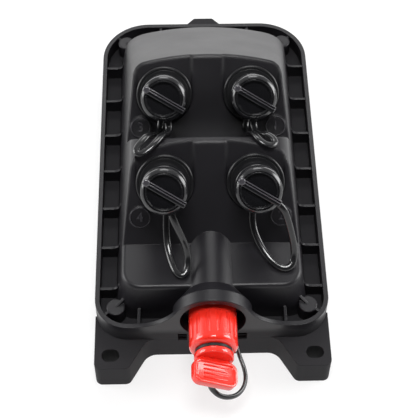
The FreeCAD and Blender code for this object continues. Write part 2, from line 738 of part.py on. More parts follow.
def turned(name, points):
    """A body of revolution about its own Z axis."""
    body = doc.addObject("PartDesign::Body", name)
    sketch = profile(body, name + "_profile", points)
    spin = body.newObject("PartDesign::Revolution", name + "_turned")
    spin.Profile = sketch
    spin.ReferenceAxis = (sketch, ["V_Axis"])
    spin.Angle = 360
    sketch.Visibility = False
    return body


def place(thing, origin, angle):
    """Stands a piece on its axis: its own +Z leans by an angle towards -Y."""
    thing.Placement = FreeCAD.Placement(origin, FreeCAD.Rotation(V(1, 0, 0), angle))
    return thing


def at_port(thing, port):
    """Puts a piece made about +Z on a port's axis and binds its lean to the sheet."""
    place(thing, PORTS[port], v("port_lean"))
    thing.setExpression("Placement.Rotation.Angle", "Sizes.port_lean")
    return thing


def at_input(thing):
    """Puts a piece made about +Z on the input's axis, facing -Y."""
    return place(thing, INPUT, 90)


def adapter(name):
    """A port adapter: flange, threaded barrel outwards, threaded tail inwards and a web for the ferrule."""
    return turned(name, [
        ("bore_radius", "barrel_length"),
        ("barrel_radius - 0.6", "barrel_length"),
        ("barrel_radius", "barrel_length - 0.6"),
        ("barrel_radius", "thread_end"),
        ("thread_root", "thread_end - barrel_radius + thread_root"),
        ("thread_root", "thread_start"),
        ("barrel_radius", "thread_start"),
        ("barrel_radius", "flange_proud"),
        ("flange_radius - 1.9", "flange_proud"),
        ("flange_radius - 1.9", "flange_proud - 0.35"),
        ("flange_radius - 1.5", "flange_proud - 0.35"),
        ("flange_radius - 1.5", "flange_proud"),
        ("flange_radius - 0.5", "flange_proud"),
        ("flange_radius", "flange_proud - 0.5"),
        ("flange_radius", "0 - seat_depth"),
        ("port_seal_radius + fit_gap", "0 - seat_depth"),
        ("port_seal_radius + fit_gap", "port_seal_depth - seat_depth"),
        ("port_seal_radius - port_seal_width - fit_gap", "port_seal_depth - seat_depth"),
        ("port_seal_radius - port_seal_width - fit_gap", "0 - seat_depth"),
        ("tail_radius", "0 - seat_depth"),
        ("tail_radius", "0 - tail_length"),
        ("bore_radius", "0 - tail_length"),
        ("bore_radius", "0 - web_wall / 2"),
        ("ferrule_bore + ferrule_wall + fit_gap", "0 - web_wall / 2"),
        ("ferrule_bore + ferrule_wall + fit_gap", "web_wall / 2"),
        ("bore_radius", "web_wall / 2"),
    ])


def ring(name, inner, outer, low, high):
    """A plain ring of square section."""
    return turned(name, [(inner, low), (outer, low), (outer, high), (inner, high)])


def hex_nut(name, corner, bore, low, height):
    """A hexagon lock nut."""
    prism = doc.addObject("Part::Prism", name + "_hexagon")
    prism.Polygon = 6
    prism.setExpression("Circumradius", cells(corner))
    prism.setExpression("Height", cells(height))
    hole = doc.addObject("Part::Cylinder", name + "_bore")
    hole.setExpression("Radius", cells(bore))
    hole.setExpression("Height", cells(height))
    for piece in (prism, hole):
        piece.setExpression("Placement.Base.z", cells(low))
    nut = doc.addObject("Part::Cut", name)
    nut.Base = prism
    nut.Tool = hole
    return nut


def dust_cap(name):
    """A dust cap: bored shell with a seal groove, a swivel groove, a recessed front and a grip bar."""
    shell = turned(name + "_shell", [
        ("barrel_radius + run_gap", "cap_foot"),
        ("cap_radius - 0.5", "cap_foot"),
        ("cap_radius", "cap_foot + 0.5"),
        ("cap_radius", "eye_ring_place - run_gap"),
        ("eye_groove_radius", "eye_ring_place - run_gap"),
        ("eye_groove_radius", "eye_ring_place + eye_ring_height + run_gap"),
        ("cap_radius", "eye_ring_place + eye_ring_height + run_gap"),
        ("cap_radius", "cap_front - cap_chamfer - 0.5"),
        ("cap_radius - cap_chamfer", "cap_front - 0.4"),
        ("cap_radius - cap_chamfer - 0.2", "cap_front - 0.9"),
        ("cap_radius - cap_chamfer - 0.6", "cap_front - 0.9"),
        ("cap_radius - cap_chamfer - 0.8", "cap_front"),
        ("cap_recess_radius", "cap_front"),
        ("cap_recess_radius - 0.4", "cap_front - cap_recess"),
        ("0", "cap_front - cap_recess"),
        ("0", "cap_front - cap_recess - cap_roof"),
        ("barrel_radius + run_gap", "cap_front - cap_recess - cap_roof"),
        ("barrel_radius + run_gap", "cap_seal_place + cap_seal_width + fit_gap"),
        ("barrel_radius + run_gap + cap_seal_depth + fit_gap", "cap_seal_place + cap_seal_width + fit_gap"),
        ("barrel_radius + run_gap + cap_seal_depth + fit_gap", "cap_seal_place - fit_gap"),
        ("barrel_radius + run_gap", "cap_seal_place - fit_gap"),
    ])
    bar = doc.addObject("Part::Box", name + "_grip")
    bar.setExpression("Length", "Sizes.grip_reach + Sizes.grip_back")
    bar.setExpression("Width", "Sizes.grip_width")
    bar.setExpression("Height", "Sizes.cap_recess + 0.9")
    turn = FreeCAD.Rotation(V(0, 0, 1), v("grip_turn"))
    corner = turn.multVec(V(-v("grip_back"), -v("grip_width") / 2, 0))
    bar.Placement = FreeCAD.Placement(corner + V(0, 0, v("cap_front") - v("cap_recess") - 0.2), turn)
    lip = doc.addObject("Part::Box", name + "_lip")
    lip.setExpression("Length", "Sizes.grip_reach + Sizes.grip_back")
    lip.setExpression("Width", "Sizes.grip_lip")
    lip.setExpression("Height", "Sizes.cap_recess + 0.9 + Sizes.grip_lip_rise")
    edge = turn.multVec(V(-v("grip_back"), v("grip_width") / 2 - v("grip_lip"), 0))
    lip.Placement = FreeCAD.Placement(edge + V(0, 0, v("cap_front") - v("cap_recess") - 0.2), turn)
    knob = doc.addObject("Part::Cylinder", name + "_knob")
    knob.setExpression("Radius", "Sizes.knob_radius")
    knob.setExpression("Height", "Sizes.cap_recess + 1.4")
    middle = turn.multVec(V(-v("grip_back") + 1.4, 0, 0))
    knob.Placement.Base = middle + V(0, 0, v("cap_front") - v("cap_recess") - 0.4)
    cap = doc.addObject("Part::MultiFuse", name)
    cap.Shapes = [shell, bar, lip, knob]
    return cap


def lugged_ring(name, inner, outer, low, height, angle):
    """A moulded ring with one square lug, which the tether's strap runs into."""
    z0, tall = v(low) if isinstance(low, str) else low, v(height)
    hoop = Part.makeCylinder(outer, tall, V(0, 0, z0)).cut(Part.makeCylinder(inner, tall, V(0, 0, z0)))
    half = v("lug_width") / 2
    lug = Part.makeBox(2 * half, v("lug_reach") - (inner + outer) / 2, tall, V(-half, -v("lug_reach"), z0))
    lug.rotate(V(0, 0, 0), V(0, 0, 1), angle)
    return part_feature(name, hoop.fuse(lug).removeSplitter())


def cord(name, route, radius):
    """A round cord: straight runs joined by the largest tangent arcs that its route allows."""
    points = [V(*p) for p in route]
    edges = []
    here = points[0]
    smallest = 1000.0
    for i in range(1, len(points) - 1):
        back = (points[i - 1] - points[i])
        ahead = (points[i + 1] - points[i])
        shorter = min(back.Length, ahead.Length)
        turn = math.pi - back.getAngle(ahead)
        tangent = 0.45 * shorter
        bend = tangent / math.tan(turn / 2)
        smallest = min(smallest, bend)
        start = points[i] + V(back).normalize() * tangent
        end = points[i] + V(ahead).normalize() * tangent
        inward = (V(back).normalize() + V(ahead).normalize()).normalize()
        crown_gap = bend / math.cos(turn / 2) - bend
        edges.append(Part.LineSegment(here, start).toShape())
        edges.append(Part.Arc(start, points[i] + inward * crown_gap, end).toShape())
        here = end
    edges.append(Part.LineSegment(here, points[-1]).toShape())
    path = Part.Wire(edges)
    section = Part.Wire(Part.makeCircle(radius, points[0], points[1] - points[0]))
    tube = path.makePipeShell([section], True, False)
    expected = math.pi * radius ** 2 * path.Length
    share = tube.Volume / expected
    print(f"{name}: length {path.Length:.1f}, tightest bend {smallest:.2f}, volume {share:.4f} of expected")
    return part_feature(name, tube)


# Each tether's route from its neck ring to its eye ring, and the angles of the two lugs from straight
# downhill. The middle points are as the straps fall: over the near ridge, or onto the front deck.
TETHERS = {
    "1": (-12, 0,
          [(19.8, -6.2, 62.6), (20.2, -13, 69.8), (21.2, -18.6, 77.4), (22.7, -22, 81.4), (24.8, -26.4, 82.3),
                   (27.8, -29, 81.4), (31.3, -29.6, 80.5), (33.6, -27, 80), (32, -23.7, 80.2), (28.2, -21.2,
                                                                                                80.3),
                   (25, -18, 76.2)]),
    "2": (-7, 50,
          [(21.6, -62.3, 53.4), (24.8, -69.6, 49.2), (29.8, -76.8, 46.4), (35.4, -81.6, 45.8),
           (40.1, -81.2, 46.2),
                   (42.0, -76.8, 48.4), (41.6, -73, 54), (40, -70, 60.6), (38.2, -67, 67)]),
    "3": (-8, 9,
          [(-26, -6.2, 62.6), (-27.4, -13, 69.8), (-29, -18.4, 77), (-31.6, -21.8, 80.7), (-34.4, -26, 80.9),
                  (-36.8, -29.2, 80.2), (-37.6, -31.8, 79.5), (-35.2, -33.4, 79.6), (-31.4, -31.6, 80.8),
                  (-27.4, -27.6, 82), (-23.6, -21.2, 81), (-21.6, -16.8, 75.2)]),
    "4": (2, 16,
          [(-22.9, -61.6, 53.4), (-22.4, -68.4, 49), (-20.6, -76.2, 46.6), (-18.2, -82.8, 46),
           (-15.1, -85.2, 46),
                  (-12.4, -82.6, 46.6), (-11.7, -77.4, 49.4), (-12.9, -73.8, 55.4), (-15.4, -71.4, 62.6)]),
}


def port_point(port, outward, angle, radius):
    """A point beside a port's axis, and the direction downhill at that angle."""
    turn = math.radians(angle)
    away = V(math.sin(turn), 0, 0) - UPHILL * math.cos(turn)
    return PORTS[port] + OUT * outward + away * radius, away


def port_set(port):
    """Everything that belongs to one port."""
    at_port(adapter("port_adapter_" + port), port)
    at_port(ring("adapter_seal_" + port, "port_seal_radius - port_seal_width", "port_seal_radius",
                 "0 - seat_depth", "port_seal_depth - seat_depth"), port)
    at_port(hex_nut("lock_nut_" + port, "nut_corner", "tail_radius + fit_gap",
                    "0 - shell_wall - nut_height", "nut_height"), port)
    at_port(ring("ferrule_sleeve_" + port, "ferrule_bore", "ferrule_bore + ferrule_wall",
                 "0 - ferrule_length / 2", "ferrule_length / 2"), port)
    at_port(dust_cap("dust_cap_" + port), port)
    at_port(ring("cap_seal_" + port, "barrel_radius + run_gap", "barrel_radius + run_gap + cap_seal_depth",
                 "cap_seal_place", "cap_seal_place + cap_seal_width"), port)
    neck_angle, eye_angle, middle = TETHERS[port]
    neck_low = v("flange_proud") + v("neck_ring_gap")
    at_port(lugged_ring("tether_neck_" + port, v("barrel_radius") + v("fit_gap"), v("neck_ring_radius"),
                        neck_low, "neck_ring_height", neck_angle), port)
    at_port(lugged_ring("tether_eye_" + port, v("eye_groove_radius") + v("run_gap"), v("eye_ring_radius"),
                        "eye_ring_place", "eye_ring_height", eye_angle), port)
    start, leave = port_point(port, neck_low + v("neck_ring_height") / 2, neck_angle, v("lug_reach"))
    end, arrive = port_point(port, v("eye_ring_place") + v("eye_ring_height") / 2, eye_angle, v("lug_reach"))
    route = [start, start + leave * v("tether_lead")] + [V(*p) for p in middle]
    route += [end + arrive * v("tether_lead"), end]
    cord("tether_" + port, [tuple(p) for p in route], v("tether_radius"))


# The input's pieces, about +Z with the seat at height 0, then turned to face -Y
def input_adapter():
    """The input adapter: flange on the hood's seat, barrel outwards, tail through the wall."""
    return turned("input_adapter", [
        ("bore_radius", "input_barrel_length"),
        ("barrel_radius - 0.6", "input_barrel_length"),
        ("barrel_radius", "input_barrel_length - 0.6"),
        ("barrel_radius", "input_flange_height"),
        ("input_flange_radius", "input_flange_height"),
        ("input_flange_radius", "0"),
        ("input_seal_radius + fit_gap", "0"),
        ("input_seal_radius + fit_gap", "input_seal_depth"),
        ("input_seal_radius - input_seal_width - fit_gap", "input_seal_depth"),
        ("input_seal_radius - input_seal_width - fit_gap", "0"),
        ("input_tail_radius", "0"),
        ("input_tail_radius", "0 - input_tail_length"),
        ("bore_radius - 1", "0 - input_tail_length"),
        ("bore_radius - 1", "0 - web_wall"),
        ("ferrule_bore + ferrule_wall + fit_gap", "0 - web_wall"),
        ("ferrule_bore + ferrule_wall + fit_gap", "0"),
        ("bore_radius", "0"),
    ])


SLEEVE_START = v("input_flange_height") + v("sleeve_gap")


def sleeve_shape():
    """The red sleeve: a fluted grip with a plain collar, bored for the barrel and for the plug's stem."""
    radius = v("sleeve_radius")
    top = SLEEVE_START + v("sleeve_length")
    body = Part.makeCylinder(radius, v("sleeve_length"), V(0, 0, SLEEVE_START))
    body = soften(body, v("sleeve_round"), lambda m: abs(m.z - top) < 0.1)
    for i in range(int(v("sleeve_flutes"))):
        angle = 2 * math.pi * i / v("sleeve_flutes")
        middle = radius + v("sleeve_flute_radius") - v("sleeve_flute_depth")
        flute = Part.makeCylinder(v("sleeve_flute_radius"), v("sleeve_length") - 2 * v("sleeve_land"),
                                  V(middle * math.cos(angle), middle * math.sin(angle),
                                    SLEEVE_START + v("sleeve_land")))
        body = body.cut(flute)
    barrel_end = v("input_barrel_length") + 0.4
    body = body.cut(Part.makeCylinder(v("barrel_radius") + v("run_gap"), barrel_end - SLEEVE_START,
                                      V(0, 0, SLEEVE_START)))
    return body.cut(Part.makeCylinder(v("stem_radius") + v("run_gap"), 20, V(0, 0, barrel_end)))


def disc_start():
    """Where the plug's disc begins along the input's axis."""
    return SLEEVE_START + v("sleeve_length") + v("plug_seal_height") + v("plug_slack")


def paddle_start():
    """Where the plug's paddle begins, a little inside the disc."""
    return disc_start() + v("plug_disc_height") - v("paddle_bite")


def plug_shape():
    """The red plug: nose, stem, disc, and a paddle handle turned about the axis."""
    stem_low = v("input_barrel_length") + v("plug_slack")
    nose = Part.makeCylinder(v("bore_radius") - 0.1, v("nose_length"), V(0, 0, stem_low - v("nose_length")))
    stem = Part.makeCylinder(v("stem_radius"), disc_start() + 0.3 - stem_low, V(0, 0, stem_low))
    disc = Part.makeCylinder(v("plug_disc_radius"), v("plug_disc_height"), V(0, 0, disc_start()))
    rings = [e for e in disc.Edges if len(e.Vertexes) == 1 or e.BoundBox.ZLength < 0.01]
    disc = disc.makeFillet(v("plug_disc_round"), rings)
    start = paddle_start()
    wide = v("paddle_half_width")
    half = v("paddle_wall") / 2
    root = v("paddle_root")
    paddle = Part.makeBox(2 * wide, 2 * half, v("paddle_length") - root, V(-wide, -half, start + root))
    paddle = soften(paddle, v("paddle_corner"), lambda m: abs(m.y) < 0.1)
    paddle = soften(paddle, v("paddle_edge"), lambda m: abs(abs(m.y) - half) < 0.01)
    neck_half = v("plug_disc_radius") - v("neck_inset")
    neck_thick = half - v("neck_thinner")
    neck = Part.makeBox(2 * neck_half, 2 * neck_thick, v("neck_length"), V(-neck_half, -neck_thick, start))
    paddle = paddle.fuse(neck)
    paddle.rotate(V(0, 0, 0), V(0, 0, 1), -v("paddle_turn"))
    return nose.fuse([stem, disc, paddle]).removeSplitter()


def lanyard():
    """The black lanyard: from its ring behind the sleeve, out under it, round and up to the paddle."""
    turn = math.radians(v("lanyard_angle"))
    track = v("lanyard_track")
    ring_low = v("input_flange_height") + 0.2
    tall = v("lanyard_ring_height")
    inner = v("barrel_radius") + v("fit_gap")
    hoop = Part.makeCylinder(v("lanyard_ring_radius"), tall,
                             V(0, 0, ring_low)).cut(Part.makeCylinder(inner, tall, V(0, 0, ring_low)))
    wide = v("lanyard_lug_width")
    tip = track + v("lanyard_lug_end")
    lug = Part.makeBox(wide, tip - inner - 1, tall, V(-wide / 2, -tip, ring_low))
    lug.rotate(V(0, 0, 0), V(0, 0, 1), v("lanyard_angle"))
    at_input(part_feature("lanyard_ring", hoop.fuse(lug).removeSplitter()))
    start = INPUT + V(track * math.sin(turn), -ring_low - tall, -track * math.cos(turn))
    paddle_turn = math.radians(v("paddle_turn"))
    below = V(-math.sin(paddle_turn), 0, -math.cos(paddle_turn))
    tip_y = INPUT.y - paddle_start() - v("paddle_length") + v("paddle_grip")
    end = V(0, tip_y, v("input_height")) + below * (v("paddle_wall") / 2)
    route = [start, start + V(0, -5, 0), start + V(0.7, -9.8, -1.4), (13.0, -116.6, 20.6),
             (15.4, -122.6, 18.6),
             (16.3, -128.4, 18), (15.0, -134.2, 18.6), (11.6, -139, 20), (7.0, -141.2, 21.8),
             (2.4, -141.2, 24), (-0.9, -139.4, 27), end + below * 3.2, end]
    cord("lanyard", [tuple(p) for p in route], v("lanyard_radius"))


def cover_screws():
    """Four self-tapping screws, up through the base into the cover's bosses."""
    screws = []
    for x, y in BOSSES:
        low = v("screw_sink")
        head = Part.makeCylinder(v("screw_head_radius"), v("screw_head_height"), V(x, y, low))
        cross = Part.makeBox(3.4, 0.9, 1.2,
                             V(x - 1.7, y - 0.45,
                               low)).fuse(Part.makeBox(0.9, 3.4, 1.2, V(x - 0.45, y - 1.7, low)))
        shank = Part.makeCylinder(v("screw_radius"), v("screw_length") - v("screw_head_height"),
                                  V(x, y, low + v("screw_head_height")))
        screws.append(head.fuse(shank).cut(cross))
    return Part.makeCompound(screws)


def tray_screws():
    """Four short screws that hold the tray on its posts."""
    screws = []
    low = v("base_floor") + v("tray_post") + v("tray_floor")
    for x, y in TRAY_SCREWS:
        head = Part.makeCylinder(2.2, 1.4, V(x, y, low))
        shank = Part.makeCylinder(v("tray_screw_radius"), v("tray_floor") + 3.4,
                                  V(x, y, low - v("tray_floor") - 3.4))
        screws.append(head.fuse(shank))
    return Part.makeCompound(screws)


part_feature("base", base_shape())
part_feature("cover", cover_shape())
part_feature("housing_seal", seal_ring(v("seal_height")))
part_feature("cover_screws", cover_screws())
part_feature("splice_tray", tray_shape())
part_feature("tray_screws", tray_screws())
for port_name in PORTS:
    port_set(port_name)
at_input(input_adapter())
at_input(ring("input_seal", "input_seal_radius - input_seal_width", "input_seal_radius", "0",
              "input_seal_depth"))
at_input(hex_nut("input_lock_nut", "input_nut_corner", "input_tail_radius + fit_gap",
                 "0 - hood_wall - input_nut_height", "input_nut_height"))
at_input(part_feature("input_sleeve", sleeve_shape()))
at_input(part_feature("input_plug", plug_shape()))
at_input(ring("plug_seal", "stem_radius + fit_gap", "plug_seal_radius",
              "input_flange_height + sleeve_gap + sleeve_length + run_gap",
              "input_flange_height + sleeve_gap + sleeve_length + plug_seal_height"))
lanyard()
doc.recompute()

NODES = ["base", "cover", "housing_seal", "cover_screws", "splice_tray", "tray_screws"]
NODES += [f"{word}_{port}" for port in PORTS for word in (
    "port_adapter", "adapter_seal", "lock_nut", "ferrule_sleeve", "dust_cap", "cap_seal",
    "tether_neck", "tether_eye", "tether")]
NODES += ["input_adapter", "input_seal", "input_lock_nut", "input_sleeve", "input_plug", "plug_seal",
          "lanyard_ring", "lanyard"]

for thing in doc.Objects:
    if "Invalid" in thing.State or "Error" in thing.State:
        raise RuntimeError(f"{thing.Name} did not rebuild: {thing.State}")
os.makedirs("parts", exist_ok=True)
for node in NODES:
    shape = doc.getObject(node).Shape
    if shape.isNull() or not shape.isValid():
        raise RuntimeError(node + " has no valid shape")
    shape.exportStep(f"parts/{node}.step")
    print(f"{node}: {len(shape.Solids)} solid(s), {shape.Volume:.0f} mm3")
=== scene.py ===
# %% [markdown]
# # A four-port outdoor fibre terminal
#
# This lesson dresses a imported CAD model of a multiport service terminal. The real part is a sealed
# box of black moulded plastic. It lies on its back, with four capped ports on two sloping faces, a
# red plug in a hood at the near end, two feet at its near corners and a tab at the far end.
#
# The CAD gives the housing, the adapters, the seals and the screws with their true sizes, so those
# pieces stay and only get materials. The scene remodels what needs finer forms than the CAD holds:
# the dust caps with their soft edges, the red plug, the flat tethers and the lanyard. It adds the
# threads under the caps and the raised numbers beside the ports.

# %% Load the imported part
import json
import math

import bmesh
import bpy
from mathutils import Matrix, Vector


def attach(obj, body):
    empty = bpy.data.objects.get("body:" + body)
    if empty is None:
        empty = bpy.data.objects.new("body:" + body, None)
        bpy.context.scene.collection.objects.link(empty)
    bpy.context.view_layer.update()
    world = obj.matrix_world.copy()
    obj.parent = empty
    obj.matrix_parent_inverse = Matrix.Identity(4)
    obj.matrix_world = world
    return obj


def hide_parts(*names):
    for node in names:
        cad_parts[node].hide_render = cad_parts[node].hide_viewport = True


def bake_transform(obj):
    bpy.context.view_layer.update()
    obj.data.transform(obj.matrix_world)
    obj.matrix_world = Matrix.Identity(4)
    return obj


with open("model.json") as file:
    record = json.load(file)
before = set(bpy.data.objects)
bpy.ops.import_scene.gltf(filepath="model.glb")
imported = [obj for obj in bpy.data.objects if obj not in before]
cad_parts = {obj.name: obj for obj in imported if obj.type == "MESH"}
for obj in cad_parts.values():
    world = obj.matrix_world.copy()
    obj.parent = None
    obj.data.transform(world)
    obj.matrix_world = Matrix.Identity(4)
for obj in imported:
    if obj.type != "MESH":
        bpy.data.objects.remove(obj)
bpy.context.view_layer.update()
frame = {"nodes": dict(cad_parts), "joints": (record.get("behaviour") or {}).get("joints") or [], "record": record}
nodes = frame["nodes"]

MM = 0.001

# %% [markdown]
# ## The ports' own coordinates
#
# Every port leans 45 degrees towards the near end. A piece that sits on a port is easiest to model
# upright, about its own +Z, and then to carry to the port with one matrix. The matrices come from
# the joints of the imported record, so a piece can't drift away from the port that it belongs to.

# %% Matrices that carry a piece to its port or to the input
joints = {joint["name"]: joint for joint in frame["joints"]}


def seat(place, axis):
    """The matrix that stands a piece, modelled about +Z, at a place and along an axis."""
    outward = Vector(axis).normalized()
    across = Vector((1, 0, 0))
    uphill = outward.cross(across)
    turn = Matrix((across, uphill, outward)).transposed().to_4x4()
    return Matrix.Translation(Vector(place)) @ turn


PORTS = {}
for number in "1234":
    turn_joint = joints[f"cap_{number}_turn"]
    PORTS[number] = seat(turn_joint["pos_m"], turn_joint["axis"])
INPUT = seat(joints["sleeve_turn"]["pos_m"], joints["sleeve_turn"]["axis"])
for number, matrix in PORTS.items():
    print("port", number, "at", tuple(round(c / MM, 1) for c in matrix.translation), "mm")

# %% [markdown]
# ## Finishes
#
# A finish here is a Principled shader fed by a few nodes. The same kinds of nodes come back in every
# finish, on the floor and in the world, so each kind has a small helper. The part's finishes all read
# Object coordinates. Image textures would need unwrapped pieces and files. Noise on Object
# coordinates needs neither, and it stays on a piece when its joint moves.

# %% Helpers for the nodes that the finishes share


def new_material(name):
    """An empty material, with its node tree and its Principled shader."""
    material = bpy.data.materials.new(name)
    material.use_nodes = True
    return material, material.node_tree, material.node_tree.nodes["Principled BSDF"]


def noise(tree, scale, detail=2.0):
    """Noise on a piece's own coordinates; the scale is in cells a metre."""
    place = tree.nodes.new("ShaderNodeTexCoord")
    pattern = tree.nodes.new("ShaderNodeTexNoise")
    pattern.inputs["Scale"].default_value = scale
    pattern.inputs["Detail"].default_value = detail
    tree.links.new(place.outputs["Object"], pattern.inputs["Vector"])
    return pattern.outputs["Fac"]


def axes(tree, coordinates="Object"):
    """The X, Y and Z of a point of a piece, or of a direction in the world."""
    place = tree.nodes.new("ShaderNodeTexCoord")
    split = tree.nodes.new("ShaderNodeSeparateXYZ")
    tree.links.new(place.outputs[coordinates], split.inputs["Vector"])
    return split.outputs


def feed(tree, socket, setting):
    """Sets a socket to a number, or links it to another node's output."""
    if isinstance(setting, bpy.types.NodeSocket):
        tree.links.new(setting, socket)
    else:
        socket.default_value = setting


def ramp(tree, value, start, end, low, high, smooth=False):
    """A Map Range: a value that runs from start to end gives low to high, and is held past both."""
    node = tree.nodes.new("ShaderNodeMapRange")
    node.interpolation_type = "SMOOTHSTEP" if smooth else "LINEAR"
    tree.links.new(value, node.inputs["Value"])
    for name, setting in (("From Min", start), ("From Max", end), ("To Min", low), ("To Max", high)):
        feed(tree, node.inputs[name], setting)
    return node.outputs["Result"]


def combined(tree, operation, first, second):
    """The sum or the product of two nodes' outputs."""
    node = tree.nodes.new("ShaderNodeMath")
    node.operation = operation
    tree.links.new(first, node.inputs[0])
    tree.links.new(second, node.inputs[1])
    return node.outputs["Value"]


# %% [markdown]
# ## Moulded plastic
#
# Nearly everything here is moulded plastic, and one helper builds it from three ideas. A coarse noise
# varies the roughness and the shade a little, as handling does. A fine noise gives the mould's spark
# grain as a bump. A Bevel node softens the look of edges that the CAD leaves sharp, which costs no
# faces. Cutting those small bevels into the CAD's loose triangles would tear them.

# %% A helper for moulded plastic
PLASTIC_IOR = 1.49
PLASTIC_SPECULAR = 0.38
COAT_ROUGHNESS = 0.08
PATCHES_PER_METRE = 45.0
PATCH_DETAIL = 4.0
SHADE_SPREAD = 0.14
GRAIN_SIZE = 0.35
GRAIN_DEPTH = 0.05
EDGE_SAMPLES = 4


def moulded(name, colour, rough, grain, edge=0.3, vary=0.06, coat=0.0):
    """Plastic of a colour: its roughness, its grain as a bump's strength, its edge radius in mm."""
    material, tree, shader = new_material(name)
    shader.inputs["IOR"].default_value = PLASTIC_IOR
    shader.inputs["Specular IOR Level"].default_value = PLASTIC_SPECULAR
    shader.inputs["Coat Weight"].default_value = coat
    shader.inputs["Coat Roughness"].default_value = COAT_ROUGHNESS

    patches = noise(tree, PATCHES_PER_METRE, PATCH_DETAIL)
    tree.links.new(ramp(tree, patches, 0.0, 1.0, rough - vary, rough + vary), shader.inputs["Roughness"])
    shade = tree.nodes.new("ShaderNodeMixRGB")
    shade.inputs["Color1"].default_value = (*[c * (1 - SHADE_SPREAD) for c in colour], 1)
    shade.inputs["Color2"].default_value = (*[min(1.0, c * (1 + SHADE_SPREAD)) for c in colour], 1)
    tree.links.new(patches, shade.inputs["Fac"])
    tree.links.new(shade.outputs["Color"], shader.inputs["Base Color"])

    bump = tree.nodes.new("ShaderNodeBump")
    bump.inputs["Strength"].default_value = grain
    bump.inputs["Distance"].default_value = GRAIN_DEPTH * MM
    soft_edge = tree.nodes.new("ShaderNodeBevel")
    soft_edge.samples = EDGE_SAMPLES
    soft_edge.inputs["Radius"].default_value = edge * MM
    tree.links.new(noise(tree, 1.0 / (GRAIN_SIZE * MM)), bump.inputs["Height"])
    tree.links.new(soft_edge.outputs["Normal"], bump.inputs["Normal"])
    tree.links.new(bump.outputs["Normal"], shader.inputs["Normal"])
    return material


# %% [markdown]
# The housing is satin, the adapters are a little smoother, and the caps, the straps and the plug are
# glossy, with a thin clear coat for the sharp glints that a polished mould leaves. Nuts and seals are
# dull. The grip's lips and knobs, the raised numbers and their lips are a lighter black: a painted
# highlight that stands for the glints on their edges. One black for all would leave the caps lost on
# the housing.

# %% The plastics
housing_black = moulded("housing_black", (0.0095, 0.0088, 0.011), rough=0.37, grain=0.3, edge=0.5)
adapter_black = moulded("adapter_black", (0.007, 0.007, 0.008), rough=0.34, grain=0.1)
cap_black = moulded("cap_black", (0.007, 0.007, 0.0085), rough=0.24, grain=0.08, coat=0.6)
# a lighter black: a painted highlight on the grip's lips and knobs
grip_painted_highlight = moulded("grip_painted_highlight", (0.05, 0.048, 0.055), rough=0.2, grain=0.06, edge=0.4, coat=0.8)
# a lighter black: a painted highlight on the raised numbers and their lips
number_painted_highlight = moulded("number_painted_highlight", (0.042, 0.04, 0.046), rough=0.26, grain=0.1, edge=0.2, coat=0.4)
tether_black = moulded("tether_black", (0.011, 0.011, 0.012), rough=0.2, grain=0.08, coat=0.5)
nut_black = moulded("nut_black", (0.03, 0.03, 0.032), rough=0.45, grain=0.3)
seal_black = moulded("seal_black", (0.009, 0.009, 0.009), rough=0.5, grain=0.2)
input_red = moulded("input_red", (0.86, 0.026, 0.014), rough=0.2, grain=0.03, edge=0.35, vary=0.04, coat=0.7)
tray_grey = moulded("tray_grey", (0.5, 0.5, 0.48), rough=0.4, grain=0.2)
print(len(bpy.data.materials), "materials so far")

# %% [markdown]
# The ridges above the ports are rounder than the ribs and the rim. A wide rounding everywhere would
# blur the thin ribs, so the radius that the housing's Bevel node uses grows with the height: small
# below the deck, and a few millimetres at the ridges.

# %% Rounder edges higher up on the housing
ROUNDING_STARTS = 50
ROUNDING_FULL = 64
RIB_EDGE = 0.5
RIDGE_EDGE = 3.0
RIDGE_SAMPLES = 8
tree = housing_black.node_tree
height = axes(tree)["Z"]
edge_radius = ramp(tree, height, ROUNDING_STARTS * MM, ROUNDING_FULL * MM, RIB_EDGE * MM, RIDGE_EDGE * MM)
ridge_bevel = next(node for node in tree.nodes if node.bl_idname == "ShaderNodeBevel")
ridge_bevel.samples = RIDGE_SAMPLES
tree.links.new(edge_radius, ridge_bevel.inputs["Radius"])
print(f"the housing's edges look rounded by {RIB_EDGE} mm, and by {RIDGE_EDGE} mm at the ridges")

# %% [markdown]
# The pockets between the ribs and the walls of the base come from the coarser part of the mould.
# They are more matt than the shell above them, and that keeps the pockets as deep as they look on
# the real part. A second material would need the CAD's mesh cut in two. The height that rounds the
# edges can do it as well: it adds to the roughness below the rim.

# %% A more matt base and pocket floor
MATT_BELOW = 22
MATT_ENDS = 27
MATT_EXTRA = 0.38
shader = tree.nodes["Principled BSDF"]
shell_roughness = shader.inputs["Roughness"].links[0].from_socket
matt = ramp(tree, height, MATT_BELOW * MM, MATT_ENDS * MM, MATT_EXTRA, 0.0)
tree.links.new(combined(tree, "ADD", shell_roughness, matt), shader.inputs["Roughness"])
print(f"the base is rougher by {MATT_EXTRA} below {MATT_BELOW} mm")

# %% [markdown]
# ## Steel and ceramic
#
# The screws are stainless steel, and the ferrule sleeves inside the adapters are polished ceramic.
# Neither shows much, so both stay simple: a metal with an uneven roughness, and a white body with a
# clear gloss.

# %% A helper for bare steel and ceramic
STREAKS_PER_METRE = 900.0


def bare(name, colour, metallic, low, high):
    """A metal or ceramic whose roughness runs between two values."""
    material, tree, shader = new_material(name)
    shader.inputs["Base Color"].default_value = (*colour, 1)
    shader.inputs["Metallic"].default_value = metallic
    streaks = noise(tree, STREAKS_PER_METRE)
    tree.links.new(ramp(tree, streaks, 0.0, 1.0, low, high), shader.inputs["Roughness"])
    return material


screw_steel = bare("screw_steel", (0.62, 0.62, 0.63), 1.0, 0.22, 0.4)
ceramic_white = bare("ceramic_white", (0.85, 0.85, 0.82), 0.0, 0.08, 0.14)
print(len(bpy.data.materials), "materials in all for the part")

# %% [markdown]
# Each CAD piece carries the name of its material slot in the record. A table from slots to finishes
# dresses all of them in one loop, also the pieces inside that nobody sees until the part is opened.

